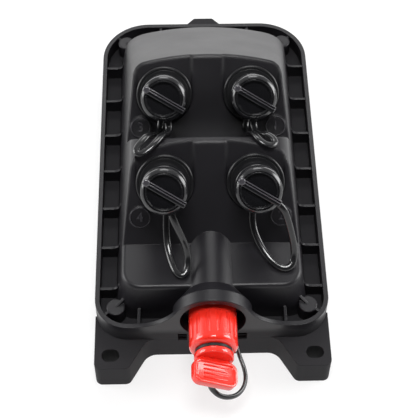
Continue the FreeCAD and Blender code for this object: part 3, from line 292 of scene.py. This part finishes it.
# %% Give each CAD piece its finish
SLOT_FINISH = {
    "housing": housing_black,
    "adapter": adapter_black,
    "cap": cap_black,
    "tether": tether_black,
    "seal": seal_black,
    "nut": nut_black,
    "ceramic": ceramic_white,
    "input_red": input_red,
    "tray": tray_grey,
    "screw": screw_steel,
}
for part in frame["record"]["subparts"]:
    cad_piece = nodes[part["node"]]
    cad_piece.data.materials.clear()
    cad_piece.data.materials.append(SLOT_FINISH[part["material_slot"]])
print(len(nodes), "CAD pieces have their finish")

# %% [markdown]
# ## Making and placing new pieces
#
# A new piece is shaped as a bmesh in millimetres about its own axis. Then it is scaled to metres and
# carried to its port inside its mesh, so its object stays at the origin, as the CAD pieces do. Moving
# the object instead would be undone by the export, and its grain would slide.

# %% A helper that turns a bmesh into a finished piece
SHARP_ANGLE = 35


def piece(name, shape, matrix, material, body=None):
    """Makes an object from a bmesh in millimetres, carries it into place and lets it ride on a body."""
    bmesh.ops.transform(shape, matrix=matrix @ Matrix.Scale(MM, 4), verts=shape.verts)
    bmesh.ops.recalc_face_normals(shape, faces=shape.faces)
    mesh = bpy.data.meshes.new(name)
    shape.to_mesh(mesh)
    shape.free()
    made = bpy.data.objects.new(name, mesh)
    bpy.context.scene.collection.objects.link(made)
    mesh.materials.append(material)
    mesh.shade_smooth()
    mesh.set_sharp_from_angle(angle=math.radians(SHARP_ANGLE))
    if body:
        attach(made, body)
    return made


# %% [markdown]
# ## Dust caps
#
# The caps are what the eye goes to first, because the light catches their rims. Each is a turned
# shell: a plain skirt, a groove in which the tether's eye swivels, a bright chamfer round the front,
# a thin inner ring and a dished face. A cylinder with a Bevel modifier would round every edge alike.
# An outline that is spun about the axis lets each edge have its own softness, so that the rim and
# the ring catch light as two separate lines. The shell keeps its bore open, so that it slides over
# the adapter's barrel as it unscrews.

# %% Helpers for turned pieces and for pieces of a cap
MERGE_DISTANCE = 0.001


def spun(profile, steps=96):
    """A closed outline of (radius, height) points, spun a full turn about Z."""
    shape = bmesh.new()
    corners = [shape.verts.new((radius, 0, height)) for radius, height in profile]
    edges = [shape.edges.new(pair) for pair in zip(corners, corners[1:] + corners[:1])]
    bmesh.ops.spin(shape, geom=corners + edges, cent=(0, 0, 0), axis=(0, 0, 1), angle=2 * math.pi,
                   steps=steps, use_merge=True)
    bmesh.ops.remove_doubles(shape, verts=shape.verts, dist=MERGE_DISTANCE)
    return shape


def cap_piece(name, shape, number, material=cap_black, turn=0.0):
    """A piece of one port's dust cap, turned about the cap's axis."""
    matrix = PORTS[number] @ Matrix.Rotation(turn, 4, "Z")
    return piece(f"{name}_{number}", shape, matrix, material, f"cap_{number}")


# %% Cap shells
CAP_RADIUS = 11.55
CAP_BORE = 8.9
CAP_FOOT = 6.0
CAP_FRONT = 29.8
CAP_EDGE = 0.25
GROOVE_RADIUS = 10.2
GROOVE_LOW = 18.94
GROOVE_HIGH = 21.46
RIM_CHAMFER = 1.45
CHAMFER_RADIUS = CAP_RADIUS - RIM_CHAMFER
CHAMFER_LOW = CAP_FRONT - RIM_CHAMFER
GAP_RADIUS = CAP_RADIUS - 1.75
GAP_FLOOR = CAP_FRONT - 0.9
RING_OUTSIDE = CAP_RADIUS - 2.25
RING_INSIDE = CAP_RADIUS - 2.85
RING_TOP = CAP_FRONT - 0.05
RING_EASE = 0.1
DISH_RADIUS = CAP_RADIUS - 2.95
DISH_FLOOR = CAP_FRONT - 2.5
FACE_BACK = CAP_FRONT - 5.0
CENTRE_RADIUS = 0.9
CAP_OUTLINE = [
    (CAP_BORE, CAP_FOOT),
    (CAP_RADIUS - CAP_EDGE, CAP_FOOT),
    (CAP_RADIUS, CAP_FOOT + CAP_EDGE),
    (CAP_RADIUS, GROOVE_LOW - CAP_EDGE),
    (CAP_RADIUS - CAP_EDGE, GROOVE_LOW),
    (GROOVE_RADIUS, GROOVE_LOW),
    (GROOVE_RADIUS, GROOVE_HIGH),
    (CAP_RADIUS - CAP_EDGE, GROOVE_HIGH),
    (CAP_RADIUS, GROOVE_HIGH + CAP_EDGE),
    (CAP_RADIUS, CHAMFER_LOW - 0.2),
    (CAP_RADIUS - 0.12, CHAMFER_LOW + 0.02),
    (CHAMFER_RADIUS + 0.1, CAP_FRONT - 0.32),
    (CHAMFER_RADIUS - 0.12, CAP_FRONT - 0.2),
    (GAP_RADIUS, CAP_FRONT - 0.25),
    (GAP_RADIUS - 0.1, GAP_FLOOR),
    (RING_OUTSIDE + 0.15, GAP_FLOOR),
    (RING_OUTSIDE, RING_TOP - RING_EASE),
    (RING_OUTSIDE - RING_EASE, RING_TOP),
    (RING_INSIDE + RING_EASE, RING_TOP),
    (RING_INSIDE, RING_TOP - RING_EASE),
    (DISH_RADIUS, DISH_FLOOR + 0.1),
    (CENTRE_RADIUS, DISH_FLOOR),
    (CENTRE_RADIUS, FACE_BACK),
    (CAP_BORE, FACE_BACK),
]
for number in PORTS:
    cap = cap_piece("cap_shell", spun(CAP_OUTLINE), number)
    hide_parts(f"dust_cap_{number}")
print("cap shells:", len(cap.data.polygons), "faces each")

# %% [markdown]
# Across each dished face runs a grip bar, turned by 31 degrees and with a small round knob at its
# upper end. The bar starts as a plain block. Two raised lips along it catch the light as a thin
# double line, which is the detail that makes these caps look moulded and not drawn. They could be
# cut into the block with insets, but as pieces of their own the lips and the knob can take a paler
# black, a painted highlight that makes the double line and the knob brighter.

# %% Helpers for blocks, discs and rounded edges


def block(size, centre):
    """A box of a size about a centre."""
    shape = bmesh.new()
    matrix = Matrix.Translation(centre) @ Matrix.Diagonal((*size, 1))
    bmesh.ops.create_cube(shape, size=1.0, matrix=matrix)
    return shape


def disc(radius, height, base, place=(0, 0), segments=48):
    """A short cylinder that stands on a base height, at a place beside the axis."""
    shape = bmesh.new()
    middle = Matrix.Translation((*place, base + height / 2))
    bmesh.ops.create_cone(shape, cap_ends=True, segments=segments, radius1=radius, radius2=radius,
                          depth=height, matrix=middle)
    return shape


def bevelled(shape, edges, radius, segments):
    """Rounds the named edges of a shape."""
    bmesh.ops.bevel(shape, geom=edges, offset=radius, offset_type="OFFSET", segments=segments,
                    profile=0.5, affect="EDGES", clamp_overlap=True, material=-1)
    return shape


def rounded(shape, radius, angle=25, segments=3):
    """Rounds the edges of a shape whose two faces meet at more than an angle in degrees."""
    bmesh.ops.recalc_face_normals(shape, faces=shape.faces)
    limit = math.radians(angle)
    sharp = [e for e in shape.edges if len(e.link_faces) == 2 and e.calc_face_angle() > limit]
    return bevelled(shape, sharp, radius, segments)


# %% Grip bars, lips, knobs and centres
GRIP_TURN = math.radians(-31)
BAR_SIZE = (23.0, 3.5, 3.2)
BAR_CENTRE = (0.9, -0.4, CAP_FRONT - 1.35)
BAR_EDGE = 0.5
LIP_SIZE = (22.2, 0.55, 1.2)
LIP_ROWS = {"upper": 1.05, "middle": -0.15}
LIP_HEIGHT = CAP_FRONT + 0.35
LIP_EDGE = 0.2
KNOB_RADIUS = 1.9
KNOB_HEIGHT = 3.9
KNOB_BASE = CAP_FRONT - 2.6
KNOB_PLACE = (-9.8, -0.2)
KNOB_EDGE = 0.9
CENTRE_PLUG_RADIUS = 1.2
CENTRE_PLUG_HEIGHT = 2.3
# The lips and the knob take the paler grip black, a painted highlight on their edges.
for number in PORTS:
    bar = rounded(block(BAR_SIZE, BAR_CENTRE), BAR_EDGE, segments=4)
    cap_piece("grip_bar", bar, number, turn=GRIP_TURN)
    for row, place in LIP_ROWS.items():
        lip = rounded(block(LIP_SIZE, (BAR_CENTRE[0], place, LIP_HEIGHT)), LIP_EDGE)
        cap_piece(f"grip_lip_{row}", lip, number, grip_painted_highlight, GRIP_TURN)
    knob = rounded(disc(KNOB_RADIUS, KNOB_HEIGHT, KNOB_BASE, KNOB_PLACE), KNOB_EDGE, segments=5)
    cap_piece("grip_knob", knob, number, grip_painted_highlight, GRIP_TURN)
    centre = disc(CENTRE_PLUG_RADIUS, CENTRE_PLUG_HEIGHT, FACE_BACK + 0.05, segments=24)
    cap_piece("cap_centre", centre, number)
print("each cap has a bar,", len(LIP_ROWS), "lips, a knob and a centre")

# %% [markdown]
# ## Threads under the caps
#
# A cap that is unscrewed bares its adapter's thread. The CAD keeps that stretch of the barrel as a
# plain, slightly thinner cylinder, because a modelled helix is slow and heavy in CAD. Here it costs
# little: the section of one ridge is spun about the barrel while it climbs one pitch a turn. A Screw
# modifier would do the same, but the spin operator leaves a finished mesh, with its two ends closed.

# %% A helical thread on each barrel
THREAD_ROOT = 8.1
THREAD_CREST = 8.72
THREAD_PITCH = 2.0
THREAD_TURNS = 3.3
THREAD_LOW = 5.6
THREAD_FLANK = 0.45
THREAD_FLAT = 0.2
THREAD_STEPS = 160


def thread(low, turns):
    """One ridge of a screw thread, climbing about Z from a height."""
    shape = bmesh.new()
    crest_low = low + THREAD_FLANK
    crest_high = crest_low + THREAD_FLAT
    section = [(THREAD_ROOT, low), (THREAD_CREST, crest_low), (THREAD_CREST, crest_high),
               (THREAD_ROOT, crest_high + THREAD_FLANK)]
    corners = [shape.verts.new((radius, 0, height)) for radius, height in section]
    edges = [shape.edges.new(pair) for pair in zip(corners, corners[1:] + corners[:1])]
    climb = (0, 0, THREAD_PITCH * turns / THREAD_STEPS)
    bmesh.ops.spin(shape, geom=corners + edges, cent=(0, 0, 0), axis=(0, 0, 1), angle=turns * 2 * math.pi,
                   steps=THREAD_STEPS, dvec=climb, use_merge=False)
    bmesh.ops.holes_fill(shape, edges=[e for e in shape.edges if e.is_boundary], sides=0)
    return shape


for number, matrix in PORTS.items():
    helix = thread(THREAD_LOW, THREAD_TURNS)
    ridge = piece(f"thread_{number}", helix, matrix, adapter_black, "housing")
print("threads:", len(ridge.data.polygons), "faces each")

# %% [markdown]
# ## The red plug
#
# The input is closed by a red plug: a nose and a stem in the adapter, a flange that presses on a
# black O-ring, and a flat paddle to pull it by. The plug stands turned by 25 degrees in its sleeve.
# The CAD has it as one solid. Here it is a few simple pieces that overlap, because each then keeps
# its own rounding.

# %% Nose, stem and flange
PADDLE_TURN = math.radians(25)
PLUG_SEAT = INPUT @ Matrix.Rotation(-PADDLE_TURN, 4, "Z")
NOSE_RADIUS = 6.1
NOSE_START = 13.2
NOSE_LENGTH = 8.0
NOSE_EDGE = 0.5
STEM_RADIUS = 7.0
STEM_LENGTH = 7.9
FLANGE_RADIUS = 9.9
FLANGE_START = 29.0
FLANGE_THICK = 3.4
FLANGE_EDGE = 0.8


def plug_piece(name, shape):
    """A piece of the red plug, in its turned seat."""
    return piece(name, shape, PLUG_SEAT, input_red, "plug")


plug_nose = plug_piece("plug_nose", rounded(disc(NOSE_RADIUS, NOSE_LENGTH, NOSE_START), NOSE_EDGE))
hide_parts("input_plug")
plug_piece("plug_stem", disc(STEM_RADIUS, STEM_LENGTH, NOSE_START + NOSE_LENGTH))
flange = disc(FLANGE_RADIUS, FLANGE_THICK, FLANGE_START, segments=96)
plug_piece("plug_flange", rounded(flange, FLANGE_EDGE, segments=5))
print("the plug's flange is", 2 * FLANGE_RADIUS, "mm across")

# %% [markdown]
# The paddle is a slab with rounded corners on a short neck. Its two wide faces have a raised border,
# and four short bars stand in the field, for the fingers. A cutter and a Boolean could sink the
# field. Insets are cleaner: the first leaves the border's width, and the second slopes down to the
# field's floor.

# %% Paddle with its border and bars
PADDLE_WIDE = 23.2
PADDLE_TALL = 13.0
PADDLE_THICK = 4.4
PADDLE_LOW = 33.2
PADDLE_MIDDLE = PADDLE_LOW + PADDLE_TALL / 2
PADDLE_CORNER = 4.0
PADDLE_EDGE = 0.5
BORDER_WIDTH = 1.5
FIELD_SLOPE = 0.35
FIELD_DEPTH = 0.55
PADDLE_NECK = (15.8, 3.8, 4.0)
PADDLE_NECK_MIDDLE = 33.0
PADDLE_NECK_EDGE = 0.8
FIELD_BAR = (13.0, PADDLE_THICK - 0.2, 0.9)
FIELD_BAR_PITCH = 2.2
FIELD_BAR_EDGE = 0.3
FIELD_BARS = 4
paddle = block((PADDLE_WIDE, PADDLE_THICK, PADDLE_TALL), (0, 0, PADDLE_MIDDLE))
corners = [e for e in paddle.edges if abs(e.verts[0].co.y - e.verts[1].co.y) > 1]
bevelled(paddle, corners, PADDLE_CORNER, segments=10)
for side in (-1, 1):
    wide_face = [f for f in paddle.faces if f.normal.y * side > 0.9]
    for width, depth in ((BORDER_WIDTH, 0.0), (FIELD_SLOPE, -FIELD_DEPTH)):
        bmesh.ops.inset_region(paddle, faces=wide_face, thickness=width, depth=depth, use_even_offset=True)
plug_piece("plug_paddle", rounded(paddle, PADDLE_EDGE, angle=50))
neck = block(PADDLE_NECK, (0, 0, PADDLE_NECK_MIDDLE))
plug_piece("paddle_neck", rounded(neck, PADDLE_NECK_EDGE))
for row in range(FIELD_BARS):
    bar_height = PADDLE_MIDDLE + FIELD_BAR_PITCH * (row - (FIELD_BARS - 1) / 2)
    bar = block(FIELD_BAR, (0, 0, bar_height))
    plug_piece(f"paddle_bar_{row + 1}", rounded(bar, FIELD_BAR_EDGE))
print("the paddle is", PADDLE_WIDE, "by", PADDLE_TALL, "mm")

# %% [markdown]
# ## Port numbers
#
# Beside each port is a raised disc with a fine lip round it and the port's number. Numbers that only
# count the ports are generic, so they belong on the part. Blender's text object makes the digits.
# They are turned into a mesh before their place is applied, because the export puts every object at
# the origin. The CAD has the discs, and the lip is one more outline that is spun.

# %% Raised digits and lips on the discs
DISC_SPREAD = 36.2
DISC_BELOW = 17.6
PORT_SPREAD = 23.2
DIGIT_SIZE = 7.0
DIGIT_DEPTH = 0.16
DIGIT_EDGE = 0.05
DIGIT_HEIGHT = 0.62
NUMBER_LIP = [(4.75, 0.45), (4.85, 0.72), (5.15, 0.72), (5.3, 0.45)]


def mesh_of(data, name):
    """The mesh that a text or a curve evaluates to; the object that showed it is removed."""
    holder = bpy.data.objects.new(name, data)
    bpy.context.scene.collection.objects.link(holder)
    mesh = bpy.data.meshes.new_from_object(holder.evaluated_get(bpy.context.evaluated_depsgraph_get()))
    bpy.data.objects.remove(holder)
    return mesh


def digit(number):
    """One raised number in millimetres, about the height of its disc's top."""
    text = bpy.data.curves.new(f"digit_{number}", "FONT")
    text.body = number
    text.size = DIGIT_SIZE
    text.align_x = "CENTER"
    text.align_y = "CENTER"
    text.extrude = DIGIT_DEPTH
    text.bevel_depth = DIGIT_EDGE
    shape = bmesh.new()
    shape.from_mesh(mesh_of(text, f"digit_{number}"))
    bmesh.ops.remove_doubles(shape, verts=shape.verts, dist=MERGE_DISTANCE)
    bmesh.ops.translate(shape, vec=(0, 0, DIGIT_HEIGHT), verts=shape.verts)
    return shape


# The digits and their lips take the paler number black, a painted highlight on their edges.
for number, matrix in PORTS.items():
    side = 1 if matrix.translation.x > 0 else -1
    disc_seat = matrix @ Matrix.Translation((side * (DISC_SPREAD - PORT_SPREAD) * MM, -DISC_BELOW * MM, 0))
    piece(f"port_number_{number}", digit(number), disc_seat, number_painted_highlight, "housing")
    lip = spun(NUMBER_LIP, steps=64)
    piece(f"number_ring_{number}", lip, disc_seat, number_painted_highlight, "housing")
print("raised numbers:", " ".join(PORTS))

# %% [markdown]
# ## Tethers and lanyard
#
# Each cap hangs on a short soft strap. The strap leaves a ring on the port's neck, falls over the
# ridge or onto the deck, doubles back and ends at the ring that swivels in the cap's groove. A curve
# with a round bevel would make a tube, and a simulated cord wouldn't come to rest as the photograph
# shows it. So the route is a list of given points, the same ones as in the CAD. A NURBS
# spline of order 3 smooths them, and a flat oval section is extruded along it without twist.

# %% Helpers for a route and for the directions along it
ROUTE_STEPS = 10


def route_curve(name, points):
    """An open NURBS curve that a list of points in millimetres steers."""
    data = bpy.data.curves.new(name, "CURVE")
    data.dimensions = "3D"
    spline = data.splines.new("NURBS")
    spline.points.add(len(points) - 1)
    for control, point in zip(spline.points, points):
        control.co = (*[c * MM for c in point], 1)
    spline.order_u = 3
    spline.use_endpoint_u = True
    spline.resolution_u = ROUTE_STEPS
    return data


def frames_along(path, first_side, last_side):
    """A sideways direction at each point of a path, carried without twist and eased to the last."""
    tangents = [(b - a).normalized() for a, b in zip(path, path[1:])]
    tangents.append(tangents[-1].copy())
    side = (first_side - tangents[0] * first_side.dot(tangents[0])).normalized()
    sides = [side]
    for before, after in zip(tangents, tangents[1:]):
        side = before.rotation_difference(after) @ side
        sides.append((side - after * side.dot(after)).normalized())
    goal = (last_side - tangents[-1] * last_side.dot(tangents[-1])).normalized()
    if goal.dot(sides[-1]) < 0:
        goal = -goal
    gap = math.atan2(tangents[-1].dot(sides[-1].cross(goal)), sides[-1].dot(goal))
    count = len(path) - 1
    eased = [Matrix.Rotation(gap * i / count, 3, t) @ s for i, (s, t) in enumerate(zip(sides, tangents))]
    return tangents, eased


# %% A helper for a flat strap
STRAP_SIDES = 20


def strap(name, points, width, thickness, first_side, last_side):
    """A flat strap along a route in millimetres; returns it, its path and its length in metres."""
    line = mesh_of(route_curve(name + "_line", points), name + "_line")
    path = [v.co.copy() for v in line.vertices]
    length = sum((b - a).length for a, b in zip(path, path[1:]))
    placed = []
    for point, tangent, side in zip(path, *frames_along(path, first_side, last_side)):
        turn = Matrix((side, tangent.cross(side), tangent)).transposed().to_4x4()
        placed.append(Matrix.Translation(point / MM) @ turn)
    shape = bmesh.new()
    section = bmesh.ops.create_circle(shape, cap_ends=False, segments=STRAP_SIDES, radius=1.0)["verts"]
    flat = Matrix.Diagonal((width / 2, thickness / 2, 1, 1))
    bmesh.ops.transform(shape, matrix=placed[0] @ flat, verts=section)
    ring = list(shape.edges)
    for here, there in zip(placed, placed[1:]):
        grown = bmesh.ops.extrude_edge_only(shape, edges=ring)["geom"]
        ring = [e for e in grown if isinstance(e, bmesh.types.BMEdge) and e.is_boundary]
        moved = [v for v in grown if isinstance(v, bmesh.types.BMVert)]
        bmesh.ops.transform(shape, matrix=there @ here.inverted(), verts=moved)
    bmesh.ops.holes_fill(shape, edges=[e for e in shape.edges if e.is_boundary], sides=0)
    made = piece(name, shape, Matrix.Identity(4), tether_black)
    return made, path, length


# %% [markdown]
# The start and end of each route come from the port, as the two rings' lugs do: an angle from
# straight downhill, a height above the face and the lug's reach. The points between them are in the
# part's own millimetres.

# %% Tether routes: the neck's angle, the eye's angle and the points between
NECK_HEIGHT = 3.6
EYE_HEIGHT = 20.2
LUG_REACH = 13.2
LUG_LEAD = LUG_REACH + 3.6
TETHER_WIDTH = 3.6
TETHER_THICKNESS = 2.0
TETHERS = {
    "1": (-12, 0, [(19.8, -6.2, 62.6), (20.2, -13, 69.8), (21.2, -18.6, 77.4), (22.7, -22, 81.4),
                   (24.8, -26.4, 82.3), (27.8, -29, 81.4), (31.3, -29.6, 80.5), (33.6, -27, 80),
                   (32, -23.7, 80.2), (28.2, -21.2, 80.3), (25, -18, 76.2)]),
    "2": (-7, 50, [(21.6, -62.3, 53.4), (24.8, -69.6, 49.2), (29.8, -76.8, 46.4), (35.4, -81.6, 45.8),
                   (40.1, -81.2, 46.2), (42.0, -76.8, 48.4), (41.6, -73, 54), (40, -70, 60.6),
                   (38.2, -67, 67)]),
    "3": (-8, 9, [(-26, -6.2, 62.6), (-27.4, -13, 69.8), (-29, -18.4, 77), (-31.6, -21.8, 80.7),
                  (-34.4, -26, 80.9), (-36.8, -29.2, 80.2), (-37.6, -31.8, 79.5), (-35.2, -33.4, 79.6),
                  (-31.4, -31.6, 80.8), (-27.4, -27.6, 82), (-23.6, -21.2, 81), (-21.6, -16.8, 75.2)]),
    "4": (2, 16, [(-22.9, -61.6, 53.4), (-22.4, -68.4, 49), (-20.6, -76.2, 46.6), (-18.2, -82.8, 46),
                  (-15.1, -85.2, 46), (-12.4, -82.6, 46.6), (-11.7, -77.4, 49.4), (-12.9, -73.8, 55.4),
                  (-15.4, -71.4, 62.6)]),
}


def beside(matrix, height, angle, reach):
    """A point beside a port's axis, in the part's millimetres."""
    turn = math.radians(angle)
    local = Vector((math.sin(turn) * reach, -math.cos(turn) * reach, height)) * MM
    return tuple((matrix @ local) / MM)


# %% Tethers
for number, (neck_angle, eye_angle, middle) in TETHERS.items():
    matrix = PORTS[number]
    neck = [beside(matrix, NECK_HEIGHT, neck_angle, reach) for reach in (LUG_REACH, LUG_LEAD)]
    eye = [beside(matrix, EYE_HEIGHT, eye_angle, reach) for reach in (LUG_LEAD, LUG_REACH)]
    outward = matrix.to_3x3() @ Vector((0, 0, 1))
    first = outward.cross(Vector(neck[1]) - Vector(neck[0]))
    last = outward.cross(Vector(eye[1]) - Vector(eye[0]))
    name = f"tether_strap_{number}"
    tether, path, length = strap(name, neck + middle + eye, TETHER_WIDTH, TETHER_THICKNESS, first, last)
    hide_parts(f"tether_{number}")
    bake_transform(tether)
    print(f"tether {number}: {length / MM:.1f} mm")

# %% [markdown]
# The lanyard keeps the red plug from being lost. It leaves a ring behind the sleeve, runs low beside
# the sleeve in a loose loop and ends under the paddle. It is rounder than the tethers, but it is made
# the same way, with a section that is only a little flat, so that one helper serves all five.

# %% Lanyard of the red plug
LANYARD_DIAMETER = 2.5
LANYARD_WIDTH = LANYARD_DIAMETER + 0.4
LANYARD_THICKNESS = LANYARD_DIAMETER - 0.3
LANYARD_TRACK = 14.4
LANYARD_ANGLE = math.radians(48)
LANYARD_RING_AHEAD = 4.8
PADDLE_LUG_AHEAD = 43.2
PADDLE_LUG_BELOW = 2.2
input_place = INPUT.translation / MM
ring_lug = Vector((math.sin(LANYARD_ANGLE), 0, -math.cos(LANYARD_ANGLE))) * LANYARD_TRACK
start = input_place + ring_lug - Vector((0, LANYARD_RING_AHEAD, 0))
below = Vector((-math.sin(PADDLE_TURN), 0, -math.cos(PADDLE_TURN)))
end = input_place - Vector((0, PADDLE_LUG_AHEAD, 0)) + below * PADDLE_LUG_BELOW
points = [tuple(start), tuple(start + Vector((0, -5, 0))), tuple(start + Vector((0.7, -9.8, -1.4)))]
points += [(13.0, -116.6, 20.6), (15.4, -122.6, 18.6), (16.3, -128.4, 18), (15.0, -134.2, 18.6),
           (11.6, -139, 20), (7.0, -141.2, 21.8), (2.4, -141.2, 24), (-0.9, -139.4, 27)]
points += [tuple(end + below * 3.2), tuple(end)]
up = Vector((0, 0, 1))
across = Vector((1, 0, 0))
lanyard, path, length = strap("plug_lanyard", points, LANYARD_WIDTH, LANYARD_THICKNESS, up, across)
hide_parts("lanyard")
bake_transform(lanyard)
print(f"lanyard: {length / MM:.1f} mm")

# %% [markdown]
# ## Stage, light and camera
#
# The part stands on a plain white floor, as in a product photograph. A floor that is only lit would
# be grey in places and would need strong lamps, which also burn out the glossy caps. So most of its
# white is its own glow. The glow is stronger towards the back, where the far slope of the housing
# mirrors it, and a little weaker close to the camera.

# %% Floor
FLOOR_HALF = 6.0
GLOW_RISES = (0.1, 0.5)
GLOW_NEAR = 0.68
GLOW_FAR = 1.25
FRONT_RISES = (-0.9, -0.2)
FRONT_SHARE = 0.85
floor_shape = bmesh.new()
bmesh.ops.create_grid(floor_shape, x_segments=1, y_segments=1, size=FLOOR_HALF)
floor_mesh = bpy.data.meshes.new("floor")
floor_shape.to_mesh(floor_mesh)
floor_shape.free()
floor = bpy.data.objects.new("floor", floor_mesh)
bpy.context.scene.collection.objects.link(floor)
floor_white, floor_tree, floor_shader = new_material("floor_white")
floor_shader.inputs["Base Color"].default_value = (0.3, 0.3, 0.3, 1)
floor_shader.inputs["Roughness"].default_value = 0.8
floor_shader.inputs["Specular IOR Level"].default_value = 0.1
floor_shader.inputs["Emission Color"].default_value = (1, 1, 1, 1)
depth = axes(floor_tree)["Y"]
floor_glow = ramp(floor_tree, depth, *GLOW_RISES, GLOW_NEAR, GLOW_FAR, smooth=True)
front_fall = ramp(floor_tree, depth, *FRONT_RISES, FRONT_SHARE, 1.0, smooth=True)
floor_strength = combined(floor_tree, "MULTIPLY", floor_glow, front_fall)
floor_tree.links.new(floor_strength, floor_shader.inputs["Emission Strength"])
floor_mesh.materials.append(floor_white)
print("the floor is", 2 * FLOOR_HALF, "m wide")

# %% [markdown]
# Black plastic shows mostly what it reflects, so the surroundings matter more than the lamps. The
# world is white near the horizon. Higher up it darkens, nearly to black in front of the part and only
# a little behind it. So the far slope, which mirrors what lies behind the part, turns pale, and the
# port faces, which mirror what lies in front, stay deep. An environment picture could do this too,
# but a few ramps on the direction are easier to tune, and they need no file.

# %% World
HORIZON_FRONT = 0.9
HORIZON_BACK = 1.0
OVERHEAD_FRONT = 0.02
OVERHEAD_BACK = 0.8
DARKENS_FROM = 0.15
DARKENS_TO = 0.45
world = bpy.data.worlds.new("studio")
bpy.context.scene.world = world
world.use_nodes = True
sky = world.node_tree
background = sky.nodes["Background"]
background.inputs["Color"].default_value = (1, 1, 1, 1)
direction = axes(sky, "Generated")
horizon = ramp(sky, direction["Y"], -1.0, 0.0, HORIZON_FRONT, HORIZON_BACK)
overhead = ramp(sky, direction["Y"], -0.5, 1.0, OVERHEAD_FRONT, OVERHEAD_BACK)
brightness = ramp(sky, direction["Z"], DARKENS_FROM, DARKENS_TO, horizon, overhead, smooth=True)
sky.links.new(brightness, background.inputs["Strength"])
print("the world is white at the horizon and darkens upwards, most of all in front")

# %% [markdown]
# Four weak softboxes add what the world can't: glints. The one at the top draws the caps' rims, the
# one at the back rakes over the ridges, and the two at the sides light the walls and the ribs. A
# point lamp would give hard dots on the glossy caps, and a rectangle gives the soft bars of a studio.

# %% Lamps


def softbox(name, place, aim, size, power):
    """A rectangular lamp that looks from a place at an aim; sizes in metres, power in watts."""
    light = bpy.data.lights.new(name, "AREA")
    light.shape = "RECTANGLE"
    light.size, light.size_y = size
    light.energy = power
    lamp = bpy.data.objects.new(name, light)
    bpy.context.scene.collection.objects.link(lamp)
    lamp.location = place
    lamp.rotation_euler = (Vector(aim) - Vector(place)).to_track_quat("-Z", "Y").to_euler()
    return lamp


softbox("top_softbox", (0.0, -0.22, 1.2), (0, -0.03, 0.04), (0.4, 0.3), 8)
softbox("back_softbox", (0.0, 0.72, 0.95), (0, -0.05, 0.05), (0.5, 0.3), 2.4)
softbox("left_softbox", (-1.0, 0.15, 0.45), (0, 0, 0.04), (0.6, 0.6), 7)
softbox("right_softbox", (1.0, 0.15, 0.5), (0, 0, 0.04), (0.6, 0.6), 9)
print(len(bpy.data.lights), "lamps")

# %% [markdown]
# The camera's place, aim, roll and focal length were solved from the outline of the rim and the feet
# in the photograph, with their real sizes. Setting a camera by eye mixes up its distance and its
# lens, and then the sizes that are read from the picture are wrong. The Standard view transform keeps
# the white of the floor white.

# %% Camera, solved from the photograph's rim and feet
PHOTO_PIXELS = 420
FOCAL_PIXELS = 1184.37
CAMERA_PLACE = Vector((-13.3, -400.4, 553.5)) * MM
CAMERA_AIM = Vector((0.44, -33.1, 29.2)) * MM
CAMERA_ROLL = math.radians(0.87)
camera_data = bpy.data.cameras.new("camera")
camera_data.sensor_width = 36.0
camera_data.lens = FOCAL_PIXELS / PHOTO_PIXELS * camera_data.sensor_width
camera = bpy.data.objects.new("camera", camera_data)
bpy.context.scene.collection.objects.link(camera)
looking = (CAMERA_AIM - CAMERA_PLACE).to_track_quat("-Z", "Y").to_matrix().to_4x4()
camera.matrix_world = Matrix.Translation(CAMERA_PLACE) @ looking @ Matrix.Rotation(CAMERA_ROLL, 4, "Z")
bpy.context.scene.camera = camera
bpy.context.scene.view_settings.view_transform = "Standard"
print(f"the lens is {camera_data.lens:.1f} mm")
